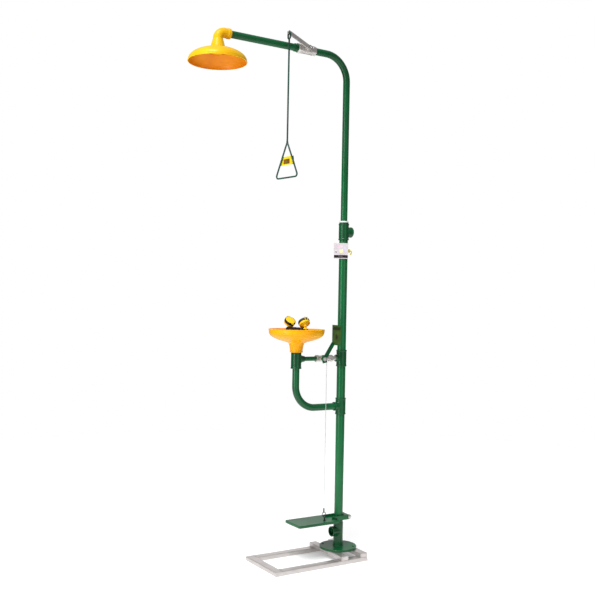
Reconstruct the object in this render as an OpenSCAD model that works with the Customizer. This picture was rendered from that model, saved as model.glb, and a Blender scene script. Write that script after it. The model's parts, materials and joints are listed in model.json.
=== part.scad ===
// Free-standing emergency safety shower with an eyewash bowl and a foot pedal.
// Millimetres, +Z up. The origin is on the floor, under the middle of the whole unit.
// The shower head and the bowl reach towards -X, the water inlet points towards +X,
// and the levers are on the -Y side.

/* [Column] */
// Height of the shower arm's centreline above the floor
arm_z = 2440; // [2300:10:2600]
// Outside diameter of the column pipe below the water inlet
column_d = 42.2; // [33.7:0.1:51]
// Wall of the column pipe
column_wall = 3.2; // [2.5:0.1:5]
// Outside diameter of the bent pipe above the water inlet and of the waste pipe
riser_d = 33.4; // [26.9:0.1:40.5]
// Wall of the bent pipe and of the waste pipe
riser_wall = 3; // [2:0.1:4.5]
// Centreline radius of the upper bend
bend_r = 120; // [80:5:180]
// Height of the waste tee's run above the flange
stub_h = 115; // [95:1:150]
// Height of the waste pipe's tee
drain_z = 732; // [660:1:790]
// Height of the eyewash supply's tee
supply_z = 967; // [930:1:1010]
// Height of the water inlet's tee
inlet_z = 1585; // [1300:5:1750]
// Length of a tee along the column
tee_h = 80; // [66:1:110]
// Wall of a fitting over its pipe
fitting_wall = 3.4; // [2.5:0.1:6]
// Width of the bead round a fitting's mouth
bead_w = 6; // [3:0.5:10]
// Height of the bead over the fitting
bead_t = 1.4; // [0.8:0.1:2.5]
// Depth that a pipe screws into a fitting
thread_depth = 18; // [12:1:24]
// Reach of the water inlet from the column's axis
inlet_reach = 44; // [38:1:70]
// Thickness of the white gasket ring over the inlet tee
gasket_h = 8; // [4:1:14]

/* [Floor stand] */
// Length of the stand
stand_l = 510; // [420:5:620]
// Width of the stand
stand_w = 280; // [240:5:360]
// Distance from the column's axis to the stand's open end
stand_rear = 75; // [70:1:110]
// Width of the stand's tube
tube_w = 40; // [30:1:50]
// Height of the stand's tube
tube_h = 20; // [15:1:30]
// Wall of the stand's tube
tube_wall = 2; // [1.5:0.1:3]
// Length of the slot in the near rail
rail_slot_l = 40; // [20:1:60]

/* [Base flange] */
// Diameter of the base flange
flange_d = 180; // [160:1:220]
// Thickness of the base flange
flange_t = 11; // [8:1:16]
// Diameter of the bolt circle
bolt_circle = 150; // [125:1:150]
// Diameter of the bolt holes
bolt_hole_d = 12; // [9:0.5:14]
// Height of the waste outlet's axis above the flange
waste_rise = 71; // [55:1:80]
// Reach of the waste outlet from the column's axis
waste_reach = 42; // [38:1:60]

/* [Shower head] */
// Distance from the column's axis to the shower head's axis
head_reach = 705; // [560:5:850]
// Diameter of the shower head
head_d = 267; // [220:1:320]
// Height of the shower head's bell
head_h = 62; // [45:1:80]
// Wall of the shower head
head_wall = 3; // [2:0.1:5]
// Drop from the arm's centreline to the shower head's rim
head_drop = 136; // [115:1:170]
// Diameter of the neck where it meets the bell
neck_d = 69; // [58:1:84]
// Outside diameter of the elbow
elbow_d = 45; // [41:0.5:54]
// Reach of the elbow's mouth from the shower head's axis
elbow_reach = 60; // [54:1:75]
// Diameter of the spray plate
spray_plate_d = 80; // [60:1:110]

/* [Shower valve and pull handle] */
// Distance from the column's axis to the valve's stem
shower_valve_reach = 239; // [200:1:300]
// Length of the valve
shower_valve_l = 99; // [84:1:120]
// Radius of the ball
shower_ball_r = 16; // [14:0.5:18]
// Length of the lever from the stem to the eye
lever_l = 127; // [105:1:155]
// Angle of the lever over the pipe when the valve is shut
lever_rise = 24; // [10:1:40]
// Width of the lever
lever_w = 19; // [16:1:25]
// Thickness of the lever
lever_t = 5; // [4:0.5:6.5]
// Diameter of the bar that the pull rod and its handle are bent from
bar_d = 8; // [6:0.5:9.6]
// Height of the handle's grip above the floor
grip_z = 1815; // [1500:5:1900]
// Height of the triangle
handle_h = 164; // [130:1:200]
// Width of the triangle between the points of its lower corners, before they are rounded
handle_w = 160; // [120:1:190]
// Turn of the triangle round the rod
handle_turn = 9; // [-15:1:15]
// Radius of the triangle's lower corners
handle_corner_r = 12; // [8:1:18]
// Height of the sign between the legs
sign_h = 40; // [30:1:60]
// Thickness of the sign
sign_t = 2; // [1:0.1:3]

/* [Eyewash bowl] */
// Distance from the column's axis to the bowl's axis
bowl_reach = 261; // [240:1:330]
// Height of the bowl's rim above the floor
bowl_rim_z = 1109; // [1085:1:1160]
// Diameter of the bowl
bowl_d = 268; // [230:1:322]
// Depth of the bowl's dish
bowl_h = 62; // [55:1:80]
// Wall of the bowl
bowl_wall = 4; // [2.5:0.1:6]
// Diameter of the bowl's neck under the dish
bowl_neck_d = 80; // [66:1:92]
// Diameter of the bowl's neck at the tee
bowl_foot_d = 59; // [54:1:64]
// Length of the bowl's neck
bowl_neck_h = 48; // [35:1:58]
// Length of the tee under the bowl
bowl_tee_h = 78; // [70:1:90]
// Centreline radius of the waste pipe's bend
drain_bend_r = 107; // [80:1:130]
// Diameter of the strainer
strainer_d = 62; // [56:1:74]

/* [Eyewash nozzles] */
// Distance between the nozzles
nozzle_spacing = 150; // [124:1:180]
// Tilt of a nozzle towards the middle
nozzle_tilt = 40; // [25:1:50]
// Diameter of a nozzle's cup
cup_d = 50; // [42:1:56]
// Length of a nozzle's cup
cup_h = 22; // [18:1:28]
// Width of the manifold
manifold_w = 44; // [36:1:52]
// Height of the manifold
manifold_h = 15; // [12:1:20]
// Height of the manifold's top over the bowl's rim
manifold_rise = 4; // [1:1:12]
// Height of a nozzle's ball over the manifold
nozzle_lift = 16; // [10:1:22]
// Travel of a dust cover in degrees
cover_travel = 110; // [60:5:120]

/* [Eyewash valve and lever] */
// Outside diameter of the eyewash supply pipe
supply_d = 21.3; // [17.8:0.1:25.6]
// Distance from the column's axis to the valve's stem
eyewash_valve_reach = 124; // [115:1:135]
// Length of the valve
eyewash_valve_l = 56; // [50:1:62]
// Radius of the ball
eyewash_ball_r = 8.5; // [7:0.5:10]
// Height of the flag's middle over the valve's axis
flag_rise = 115; // [100:1:135]
// Width of the flag
flag_w = 76; // [60:1:91]
// Height of the flag
flag_h = 97; // [80:1:116]
// Thickness of the lever's plate
plate_t = 5; // [4:0.5:6]
// Distance from the stem's axis to the wire's pin
crank_r = 24; // [20:1:28]
// Diameter of the pull wire
wire_d = 2.5; // [1.5:0.1:3]

/* [Foot pedal] */
// Length of the pedal's plate
pedal_l = 229; // [180:1:270]
// Width of the pedal's plate
pedal_w = 134; // [100:1:150]
// Height of the pedal's tread above the floor
pedal_z = 190; // [180:1:215]
// Depth of the pedal's folded edges
pedal_fold = 12; // [8:1:14]
// Thickness of the pedal's sheet
pedal_t = 3; // [2:0.5:4]
// Distance from the column's axis to the pedal's pivot
pivot_reach = 45; // [42:1:54]
// Diameter of the pedal's pivot bolt
pivot_d = 8; // [6:0.5:9.6]

/* [Inspection tag] */
// Width of the card
tag_w = 70; // [55:1:85]
// Height of the card
tag_h = 76; // [60:1:90]
// Height of the card's middle above the floor
tag_z = 1491; // [1450:1:1500]
// Turn of the card round the column
tag_turn = -32; // [-60:1:0]

/* [Hidden] */
$fn = 64;

// Clearances
gap = 0.3;          // between curved faces on different bodies
fit = 0.1;          // radial, between a pipe and its socket
run_fit = 0.05;     // radial, between a pin and what turns on it
eps = 0.01;         // cuts run past a face by this much

// Pipes and fittings
column_r = column_d / 2;
column_in = column_r - column_wall;
riser_r = riser_d / 2;
riser_in = riser_r - riser_wall;
supply_r = supply_d / 2;
supply_in = supply_r - 2.6;
fitting_r = column_r + fitting_wall;
collar_t = 4;
port_depth = 16;    // thread of the water inlet and of the waste outlet
port_r = column_r - 0.6;
supply_depth = 14;  // depth that the eyewash supply goes into its fittings
drain_branch_reach = fitting_r + 16;
supply_branch_reach = fitting_r + 10;

// Places along X, with the whole unit centred on the origin
column_x = (head_reach + head_d / 2 - flange_d / 2) / 2;
head_x = column_x - head_reach;
bowl_x = column_x - bowl_reach;
shower_valve_x = column_x - shower_valve_reach;
eyewash_valve_x = column_x - eyewash_valve_reach;

// Heights from the floor up
cross_z = tube_h;
flange_z = 2 * tube_h;
stub_z = flange_z + flange_t;
stub_top = stub_z + stub_h;
waste_z = stub_z + waste_rise;
inlet_top = inlet_z + tee_h / 2;
bush_lip_h = 5;
gasket_z = inlet_top + bush_lip_h;

// Stand
rail_x = column_x + stand_rear - stand_l;
cross_x = bolt_circle / 2 * cos(45);
spigot_h = 12;
rail_slot_reach = 140;
rail_slot_w = 8;

// Shower head
rim_z = arm_z - head_drop;
bell_top = rim_z + head_h + 1;
elbow_r = elbow_d / 2;
elbow_wall = 4;
elbow_bend_r = elbow_r + 8;
elbow_in = elbow_r - elbow_wall - 2;
neck_top = arm_z - elbow_bend_r;
elbow_mouth_x = head_x + elbow_reach;
socket_d = 15;      // depth that an arm pipe goes into a valve, elbow or coupling
spray_gap = 14;     // from the bell's ceiling to the spray plate
spray_plate_t = 3;
post_r = 2;
post_reach = spray_plate_d / 2 - 12;
spigot_r = elbow_in + 2;

// Valves: the boss, gland nut and stem lie along -Y
stem_r = 5;
boss_h = 6;
gland_h = 6;
cap_l = 18;
nut_h = 5;
shower_body_r = riser_r + 5;
eyewash_body_r = supply_r + 4;
lever_y = -(shower_body_r + boss_h + gland_h + 0.5);
hub_y = -(eyewash_body_r + boss_h + gland_h + 0.5);
coupling_l = 16;

// Pull handle
eye_x = shower_valve_x - lever_l * cos(lever_rise);
eye_z = arm_z + lever_l * sin(lever_rise);
rod_y = lever_y - lever_t / 2;
bar_r = bar_d / 2;
rod_eye_w = lever_t / 2 + bar_r + 3.5;
rod_eye_h = lever_w / 2 / cos(lever_rise) + 2 * bar_r + 10;
apex_z = grip_z + handle_h;

// Bowl
bowl_r = bowl_d / 2;
dish_swell = 3.3;   // power of the dish's outline: more is fuller
dish_z = bowl_rim_z - bowl_h;
bowl_foot_z = dish_z - bowl_neck_h;
bowl_tee_z = bowl_foot_z - bowl_tee_h;
bowl_tee_r = fitting_r;
bowl_bore = bowl_foot_d / 2 - bowl_wall - 4;
riser_tube_r = supply_r - 1.5;
manifold_z = bowl_rim_z + manifold_rise - manifold_h;
manifold_top = manifold_z + manifold_h;
strainer_t = 3;
dish_floor_z = dish_z + bowl_wall + strainer_t;
tee_taper_x = bowl_tee_r + 2;     // the supply branch tapers from here
tee_taper_l = 18;
riser_tube_wall = 1.5;

// Nozzles
nozzle_y = nozzle_spacing / 2;
nozzle_z = manifold_top + nozzle_lift;
cup_r = cup_d / 2;
nozzle_stem_r = 9;
nozzle_bore_r = 3.5;
cup_wall = 3;
cup_foot_h = 2;
cup_cone_h = 9;
cover_lug_w = 3;
cover_lug_x = 6;
ring_h = 3;
cover_h = 3.5;
cover_hinge_y = cup_r + 2.5;
cover_hinge_z = cup_h + ring_h + cover_h / 2;
hinge_pin_r = 1.2;
knuckle_r = 2.4;

// Eyewash valve run, from the bowl's tee to the column's tee
tee_mouth_x = bowl_x + tee_taper_x + tee_taper_l;
supply_branch_x = column_x - supply_branch_reach;
valve_low_x = eyewash_valve_x - eyewash_valve_l / 2;
valve_high_x = eyewash_valve_x + eyewash_valve_l / 2;

// Eyewash lever and wire
plate_y = hub_y - 7;
pin_x = eyewash_valve_x + crank_r * cos(45);
pin_z = supply_z + crank_r * sin(45);
wire_r = wire_d / 2;
wire_y = plate_y + 3.2;
pin_r = 3;
wire_eye_r = pin_r + gap + wire_r;
flag_x = eyewash_valve_x + 51;     // the flag's face towards the column
flag_in = fitting_r + bead_t + 3.5;
flag_t = 4;
hub_r = 12;
hub_l = 38;
arm_w = 19;

// Pedal: its eye drops as far as the wire's pin does
pivot_x = column_x + pivot_reach;
pedal_eye_x = pin_x + 4.2;
pedal_arm = pivot_x - pedal_eye_x;
pedal_travel = asin(2 * crank_r * sin(45) / pedal_arm);
collar_r = column_r + collar_t;
yoke_in = collar_r + 1.5;
yoke_t = 4;
pedal_rear_x = column_x - collar_r - 12;
yoke_pad_x = pedal_rear_x - 20;
eye_wire_r = 2;
eye_in = 5;
link_r = 1.6;
pedal_eye_z = pedal_z + 20;
link_z = pedal_eye_z + eye_in - 1.3 - link_r;
link_h = 17;
link_w = 15;
link_corner = 3.6;
link_top = link_z + link_h;
sleeve_l = 20;
eye_bolt_r = 3;
eye_nut_r = 5.5;
eye_nut_h = 4.5;
arm_h = 22;         // height of the pedal's arms
collar_h = 30;
lug_h = 20;
bolt_head_h = 6;

// Colours
green = [0.06, 0.36, 0.21];
steel = [0.78, 0.77, 0.76];
zinc = [0.70, 0.68, 0.67];
yellow = [1.00, 0.80, 0.10];
amber = [1.00, 0.68, 0.02];
dark_rod = [0.20, 0.30, 0.27];
black = [0.08, 0.07, 0.07];
white = [0.94, 0.94, 0.92];

// ---- Shapes that repeat ----

// Upright tube
module tube(r_out, r_in, z0, z1) {
    translate([0, 0, z0]) difference() {
        cylinder(r = r_out, h = z1 - z0);
        translate([0, 0, -eps]) cylinder(r = r_in, h = z1 - z0 + 2 * eps);
    }
}

// Solid rod along +X from x0 to x1
module rod_x(r, x0, x1) {
    translate([x0, 0, 0]) rotate([0, 90, 0]) cylinder(r = r, h = x1 - x0);
}

// Solid rod along Y from y0 to y1
module rod_y(r, y0, y1) {
    translate([0, y1, 0]) rotate([90, 0, 0]) cylinder(r = r, h = y1 - y0);
}

// Tube along +X from x0 to x1
module tube_x(r_out, r_in, x0, x1) {
    difference() {
        rod_x(r_out, x0, x1);
        rod_x(r_in, x0 - eps, x1 + eps);
    }
}

// Hexagon bar along +X, with its corners at r
module hex_x(r, x0, x1) {
    translate([x0, 0, 0]) rotate([0, 90, 0]) cylinder(r = r, h = x1 - x0, $fn = 6);
}

// Quarter of a bent tube in the XZ plane, round the origin, from the angle start
module quarter_bend(centre_r, r_out, r_in, start) {
    rotate([90, 0, 0]) rotate([0, 0, start]) rotate_extrude(angle = 90)
        translate([centre_r, 0]) difference() {
            circle(r = r_out);
            if (r_in > 0) circle(r = r_in);
        }
}

// Bead round a fitting's mouth, upright
module bead(r, z0) {
    translate([0, 0, z0]) cylinder(r = r + bead_t, h = bead_w);
}

// Tee with an upright run and one branch along X; side is 1 or -1.
// The run takes a pipe of radius low_r below and high_r above.
module tee(z, h, body_r, low_r, high_r, flow_r, branch_r, reach, branch_hole, branch_depth, side) {
    mirror([side < 0 ? 1 : 0, 0, 0]) translate([0, 0, z]) difference() {
        union() {
            translate([0, 0, -h / 2]) cylinder(r = body_r, h = h);
            bead(body_r, -h / 2);
            bead(body_r, h / 2 - bead_w);
            rod_x(branch_r, 0, reach);
            rod_x(branch_r + bead_t, reach - bead_w, reach);
        }
        translate([0, 0, -h / 2 - eps]) cylinder(r = flow_r, h = h + 2 * eps);
        translate([0, 0, -h / 2 - eps]) cylinder(r = low_r + fit, h = thread_depth + eps);
        translate([0, 0, h / 2 - thread_depth]) cylinder(r = high_r + fit, h = thread_depth + eps);
        rod_x(min(flow_r, branch_hole - 2), 0, reach + eps);
        rod_x(branch_hole, reach - branch_depth, reach + eps);
    }
}

// Ball valve's body along X, round the origin, with its boss towards -Y
module valve_body(l, body_r, ball_r, pipe_r) {
    difference() {
        union() {
            rod_x(body_r, -l / 2 + socket_d, l / 2 - cap_l);
            hex_x(body_r + 2, -l / 2, -l / 2 + socket_d + 2);
            rod_y(stem_r + 5, -(body_r + boss_h), 0);
        }
        rod_x(0.7 * ball_r, -l / 2, l / 2);
        rod_x(ball_r + 0.4, -1.15 * ball_r - fit, l / 2);
        rod_x(pipe_r + fit, -l / 2 - eps, -l / 2 + socket_d);
        rod_y(stem_r + run_fit, -(body_r + boss_h) - eps, 0);
    }
}

// End cap of a ball valve: a hexagon with a spigot that holds the seats
module valve_cap(l, body_r, ball_r, pipe_r) {
    difference() {
        union() {
            hex_x(body_r + 2, l / 2 - cap_l, l / 2);
            rod_x(ball_r + 0.4 - fit, 1.15 * ball_r + fit, l / 2 - cap_l);
        }
        rod_x(0.7 * ball_r, 0, l);
        rod_x(pipe_r + fit, l / 2 - socket_d, l / 2 + eps);
    }
}

// The two seat rings either side of a ball
module valve_seats(ball_r) {
    for (side = [0, 1]) mirror([side, 0, 0])
        tube_x(ball_r + 0.4 - fit, 0.7 * ball_r, 0.76 * ball_r, 1.15 * ball_r);
}

// Ball, bored along Z when the valve is shut, with a slot for the stem's tongue
module valve_ball(ball_r) {
    difference() {
        sphere(r = ball_r);
        translate([0, 0, -ball_r]) cylinder(r = 0.6 * ball_r, h = 2 * ball_r);
        rod_y(stem_r * ball_r / 16 + fit, -ball_r - 1, -0.75 * ball_r);
    }
}

// Stem from the ball's slot to y_end
module valve_stem(ball_r, y_end) {
    rod_y(stem_r * ball_r / 16, -ball_r - 0.5, -0.75 * ball_r - fit);
    rod_y(stem_r, y_end, -ball_r - 0.5);
}

// Hexagon gland nut on a valve's boss
module gland_nut(body_r) {
    difference() {
        rotate([90, 0, 0]) translate([0, 0, body_r + boss_h])
            cylinder(r = stem_r + 6, h = gland_h, $fn = 6);
        rod_y(stem_r + run_fit, -(body_r + boss_h + gland_h) - eps, 0);
    }
}

// ---- Floor stand ----

// Rectangular tube along X, open at both ends, with its middle at y
module stand_rail(y) {
    translate([rail_x + tube_w, y - tube_w / 2, 0]) difference() {
        cube([stand_l - tube_w, tube_w, tube_h]);
        translate([-eps, tube_wall, tube_wall])
            cube([stand_l, tube_w - 2 * tube_wall, tube_h - 2 * tube_wall]);
    }
}

// Rectangular tube along Y, open at both ends, with its middle at x
module stand_cross(x) {
    translate([x, 0, cross_z]) difference() {
        translate([-tube_w / 2, -stand_w / 2, 0]) cube([tube_w, stand_w, tube_h]);
        translate([-tube_w / 2 + tube_wall, -stand_w / 2 - eps, tube_wall])
            cube([tube_w - 2 * tube_wall, stand_w + 2 * eps, tube_h - 2 * tube_wall]);
        for (side = [-1, 1]) translate([column_x - x + sign(x - column_x) * cross_x, side * cross_x, -eps])
            cylinder(d = bolt_hole_d, h = tube_h + 2 * eps);
    }
}

module stand_rail_near() {
    color(steel) difference() {
        stand_rail(-(stand_w - tube_w) / 2);
        translate([column_x - rail_slot_reach, -(stand_w - tube_w) / 2 + 4, tube_h - tube_wall - eps])
            cube([rail_slot_l, rail_slot_w, tube_wall + 2 * eps]);
    }
}

module stand_rail_far() {
    color(steel) stand_rail((stand_w - tube_w) / 2);
}

module stand_end_tube() {
    color(steel) translate([rail_x, -stand_w / 2, 0]) difference() {
        cube([tube_w, stand_w, tube_h]);
        translate([tube_wall, -eps, tube_wall])
            cube([tube_w - 2 * tube_wall, stand_w + 2 * eps, tube_h - 2 * tube_wall]);
    }
}

module stand_cross_front() {
    color(steel) stand_cross(column_x - (stand_rear - tube_w / 2));
}

module stand_cross_rear() {
    color(steel) stand_cross(column_x + (stand_rear - tube_w / 2));
}

// ---- Column ----

module base_flange() {
    color(green) translate([column_x, 0, flange_z]) difference() {
        union() {
            cylinder(d = flange_d, h = flange_t);
            cylinder(r = column_r - fit, h = flange_t + spigot_h);
        }
        translate([0, 0, flange_t]) cylinder(r = column_in, h = spigot_h + eps);
        for (a = [45 : 90 : 315]) rotate([0, 0, a]) translate([bolt_circle / 2, 0, -eps])
            cylinder(d = bolt_hole_d, h = flange_t + 2 * eps);
    }
}

module waste_tee() {
    color(green) translate([column_x, 0, 0]) difference() {
        union() {
            translate([0, 0, stub_z]) cylinder(r = fitting_r - 1, h = stub_h);
            translate([0, 0, waste_z]) rod_x(fitting_r, -waste_reach, 0);
        }
        translate([0, 0, stub_z - eps]) cylinder(r = column_r, h = spigot_h + 1);
        translate([0, 0, stub_z]) cylinder(r = column_in, h = stub_h + eps);
        translate([0, 0, stub_top - thread_depth]) cylinder(r = column_r + fit, h = thread_depth + eps);
        translate([0, 0, waste_z]) rod_x(column_in, -waste_reach - eps, 0);
        translate([0, 0, waste_z]) rod_x(port_r, -waste_reach - eps, -waste_reach + port_depth);
    }
}

// Length of column pipe that screws into the fittings at z0 and z1
module column_pipe(z0, z1) {
    translate([column_x, 0, 0]) tube(column_r, column_in, z0 - thread_depth, z1 + thread_depth);
}

module column_lower() {
    color(green) column_pipe(stub_top, drain_z - tee_h / 2);
}

module column_middle() {
    color(green) column_pipe(drain_z + tee_h / 2, supply_z - tee_h / 2);
}

// Disc that keeps the supply water out of the waste pipe
module column_plug() {
    color(zinc) translate([column_x, 0, (drain_z + supply_z) / 2])
        cylinder(r = column_in - run_fit, h = 8);
}

module column_upper() {
    color(green) column_pipe(supply_z + tee_h / 2, inlet_z - tee_h / 2);
}

module drain_tee() {
    color(green) translate([column_x, 0, 0])
        tee(drain_z, tee_h, fitting_r, column_r, column_r, column_in,
            riser_r + fitting_wall, drain_branch_reach, riser_r + fit, thread_depth, -1);
}

module supply_tee() {
    color(green) translate([column_x, 0, 0])
        tee(supply_z, tee_h, fitting_r, column_r, column_r, column_in,
            supply_r + fitting_wall + 2, supply_branch_reach, supply_r + fit, supply_depth, -1);
}

module inlet_tee() {
    color(green) translate([column_x, 0, 0])
        tee(inlet_z, tee_h, fitting_r, column_r, column_r, column_in,
            fitting_r, inlet_reach, port_r, port_depth, 1);
}

// Bush that brings the inlet tee down to the bent pipe
module reducer_bush() {
    color(green) translate([column_x, 0, 0]) difference() {
        union() {
            translate([0, 0, inlet_top - thread_depth + 1]) cylinder(r = column_r, h = thread_depth - 1);
            translate([0, 0, inlet_top]) cylinder(r = fitting_r - 1.5, h = bush_lip_h);
        }
        translate([0, 0, inlet_top - thread_depth]) cylinder(r = riser_r + fit, h = thread_depth + 10);
    }
}

module gasket_ring() {
    color(white) translate([column_x, 0, 0])
        tube(column_r + 1.5, riser_r + fit, gasket_z, gasket_z + gasket_h);
}

// Pipe from the inlet up, round the bend and along to the shower valve
module bent_pipe() {
    color(green) {
        translate([column_x, 0, 0]) tube(riser_r, riser_in, inlet_top - thread_depth + 2, arm_z - bend_r);
        translate([column_x - bend_r, 0, arm_z - bend_r]) quarter_bend(bend_r, riser_r, riser_in, 0);
        translate([0, 0, arm_z])
            tube_x(riser_r, riser_in, shower_valve_x + shower_valve_l / 2 - socket_d, column_x - bend_r);
    }
}

// ---- Overhead shower ----

module at_shower_valve() {
    translate([shower_valve_x, 0, arm_z]) children();
}

module shower_valve_body() {
    color(zinc) at_shower_valve() valve_body(shower_valve_l, shower_body_r, shower_ball_r, riser_r);
}

module shower_valve_cap() {
    color(zinc) at_shower_valve() valve_cap(shower_valve_l, shower_body_r, shower_ball_r, riser_r);
}

module shower_seats() {
    color(white) at_shower_valve() valve_seats(shower_ball_r);
}

module shower_gland_nut() {
    color(zinc) at_shower_valve() gland_nut(shower_body_r);
}

module shower_ball() {
    color(zinc) at_shower_valve() valve_ball(shower_ball_r);
}

module shower_stem() {
    color(zinc) at_shower_valve() valve_stem(shower_ball_r, lever_y - lever_t - nut_h - 1);
}

// Flat bar from the stem to the eye, with its hole for the pull rod
module shower_lever() {
    color(zinc) at_shower_valve() rotate([0, lever_rise, 0]) difference() {
        union() {
            rod_y(lever_w / 2 + 4, lever_y - lever_t, lever_y);
            translate([-lever_l, lever_y - lever_t, -lever_w / 2]) cube([lever_l, lever_t, lever_w]);
            translate([-lever_l, 0, 0]) rod_y(lever_w / 2, lever_y - lever_t, lever_y);
        }
        rod_y(stem_r + fit, lever_y - lever_t - eps, lever_y + eps);
        translate([-lever_l, 0, 0]) rod_y(bar_r + gap, lever_y - lever_t - eps, lever_y + eps);
    }
}

// Hexagon nut that holds a lever on its stem
module lever_nut(y) {
    difference() {
        rotate([90, 0, 0]) translate([0, 0, -y]) cylinder(r = stem_r + 4.5, h = nut_h, $fn = 6);
        rod_y(stem_r + run_fit, y - nut_h - eps, y + eps);
    }
}

module shower_lever_nut() {
    color(zinc) at_shower_valve() lever_nut(lever_y - lever_t);
}

module arm_coupling() {
    color(green) translate([0, 0, arm_z])
        tube_x(riser_r + 2.4, riser_r + fit, shower_valve_x - shower_valve_l / 2 - coupling_l,
               shower_valve_x - shower_valve_l / 2);
}

module head_pipe() {
    color(green) translate([0, 0, arm_z])
        tube_x(riser_r, riser_in, elbow_mouth_x - socket_d,
               shower_valve_x - shower_valve_l / 2 + socket_d);
}

// Elbow with its mouth towards the pipe and a flared neck over the bell
module head_elbow() {
    mouth_in = elbow_mouth_x - socket_d;
    color(yellow) {
        translate([0, 0, arm_z]) {
            tube_x(elbow_r, elbow_in, head_x + elbow_bend_r, mouth_in);
            tube_x(elbow_r + 1.5, riser_r + fit, mouth_in, elbow_mouth_x);
        }
        translate([head_x + elbow_bend_r, 0, neck_top]) quarter_bend(elbow_bend_r, elbow_r, elbow_in, 90);
        translate([head_x, 0, bell_top]) difference() {
            cylinder(r1 = neck_d / 2, r2 = elbow_r, h = neck_top - bell_top);
            translate([0, 0, -eps]) cylinder(r = elbow_in, h = neck_top - bell_top + 2 * eps);
            translate([0, 0, -eps]) cylinder(r = spigot_r, h = 16);
        }
    }
}

// Points of a dome's quarter outline, from the rim in to the axis side at r_in
function dome(r, h, r_in) = [for (i = [0 : 14])
    let (a = i / 14 * acos(r_in / r)) [r * cos(a), h * sin(a)]];

module head_bell() {
    color(yellow) translate([head_x, 0, rim_z]) difference() {
        union() {
            rotate_extrude() polygon(concat([[0, 0]], dome(head_d / 2, head_h, neck_d / 2),
                                            [[neck_d / 2, head_h + 1], [0, head_h + 1]]));
            translate([0, 0, head_h]) cylinder(r = spigot_r - fit, h = 15);
        }
        rotate_extrude() polygon(concat([[0, -1], [head_d / 2 - head_wall, -1]],
                                        dome(head_d / 2 - head_wall, head_h - head_wall, 16),
                                        [[0, head_h - head_wall - 0.4]]));
        cylinder(r = elbow_in - 1, h = head_h + 20);
        for (a = [0 : 120 : 240]) rotate([0, 0, a]) translate([post_reach, 0, 0])
            cylinder(r = post_r + run_fit, h = head_h - head_wall + 1.6);
    }
}

// Perforated plate that spreads the water, on three posts
module spray_plate() {
    color(yellow) translate([head_x, 0, rim_z]) {
        difference() {
            translate([0, 0, head_h - head_wall - spray_gap])
                cylinder(d = spray_plate_d, h = spray_plate_t);
            for (ring = [1 : 3]) for (a = [0 : 60 / ring : 359])
                rotate([0, 0, a + 30]) translate([ring * spray_plate_d / 9, 0, 0])
                    cylinder(r = 1.5, h = head_h, $fn = 16);
        }
        for (a = [0 : 120 : 240]) rotate([0, 0, a])
            translate([post_reach, 0, head_h - head_wall - spray_gap + spray_plate_t - eps])
                cylinder(r = post_r, h = spray_gap - spray_plate_t + 1.4);
    }
}

// ---- Pull handle ----

// Rod with an eye that passes through the lever's hole
module pull_rod() {
    corner = bar_r + 3.5;
    straight = rod_eye_w - corner;
    color(dark_rod) translate([eye_x, rod_y, eye_z]) {
        rod_y(bar_r, -straight, straight);
        for (side = [0, 1]) mirror([0, side, 0]) {
            translate([0, straight, -corner]) rotate([0, 0, 90]) quarter_bend(corner, bar_r, 0, 0);
            translate([0, rod_eye_w, corner - rod_eye_h]) cylinder(r = bar_r, h = rod_eye_h - 2 * corner);
            translate([0, straight, corner - rod_eye_h])
                rotate([0, 0, 90]) quarter_bend(corner, bar_r, 0, 270);
        }
        translate([0, 0, -rod_eye_h]) rod_y(bar_r, -straight, straight);
        translate([0, 0, apex_z - eye_z]) cylinder(r = bar_r, h = eye_z - rod_eye_h - apex_z);
    }
}

// Rounded corner of a flat outline at v, between the corners before and after it:
// a list of [point, outward direction]
function corner(v, before, after, r, steps) =
    let (u = (before - v) / norm(before - v), w = (after - v) / norm(after - v), half = acos(u * w) / 2,
         centre = v + (u + w) / norm(u + w) * r / sin(half),
         first = v + u * r / tan(half) - centre, start = atan2(first[1], first[0]))
    [for (i = [0 : steps]) let (a = start + (180 - 2 * half) * i / steps, out = [cos(a), sin(a)])
        [centre + r * out, out]];

// Triangle bent from one round bar, with rounded corners, swept round its outline in the YZ plane
module pull_triangle() {
    sides = 12;
    apex_r = bar_r + 1;
    top = [0, handle_h + apex_r / sin(atan(handle_w / 2 / handle_h)) - apex_r - bar_r];
    left = [-handle_w / 2, 0];
    right = [handle_w / 2, 0];
    path = concat(corner(left, top, right, handle_corner_r, 7),
                  corner(right, left, top, handle_corner_r, 7),
                  corner(top, right, left, apex_r, 5));
    n = len(path);
    points = [for (p = path) for (k = [0 : sides - 1]) let (a = 360 * k / sides)
        [bar_r * sin(a), p[0][0] + bar_r * cos(a) * p[1][0], p[0][1] + bar_r * cos(a) * p[1][1]]];
    faces = [for (i = [0 : n - 1]) for (k = [0 : sides - 1])
        let (j = (i + 1) % n, m = (k + 1) % sides)
        [i * sides + k, j * sides + k, j * sides + m, i * sides + m]];
    color(dark_rod) translate([eye_x, rod_y, grip_z]) rotate([0, 0, handle_turn])
        polyhedron(points, faces, convexity = 4);
}

// Sign plate behind the triangle's legs
module pull_sign() {
    top = handle_h * 0.61;
    low = top - sign_h;
    leg = function(z) handle_w / 2 * (handle_h - z) / handle_h + 1;
    color(yellow) translate([eye_x, rod_y, grip_z]) rotate([0, 0, handle_turn])
        translate([bar_r + gap, 0, 0]) rotate([90, 0, 90]) linear_extrude(sign_t)
            polygon([[-leg(top), top], [leg(top), top], [leg(low), low], [-leg(low), low]]);
}

// ---- Eyewash bowl ----

// Points of the dish's outline from its foot up to the rim
function dish(rim, foot, h, z0) = [for (i = [0 : 14])
    let (d = 1 - i / 14) [rim - (rim - foot) * pow(d, dish_swell), z0 + h * i / 14]];

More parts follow.
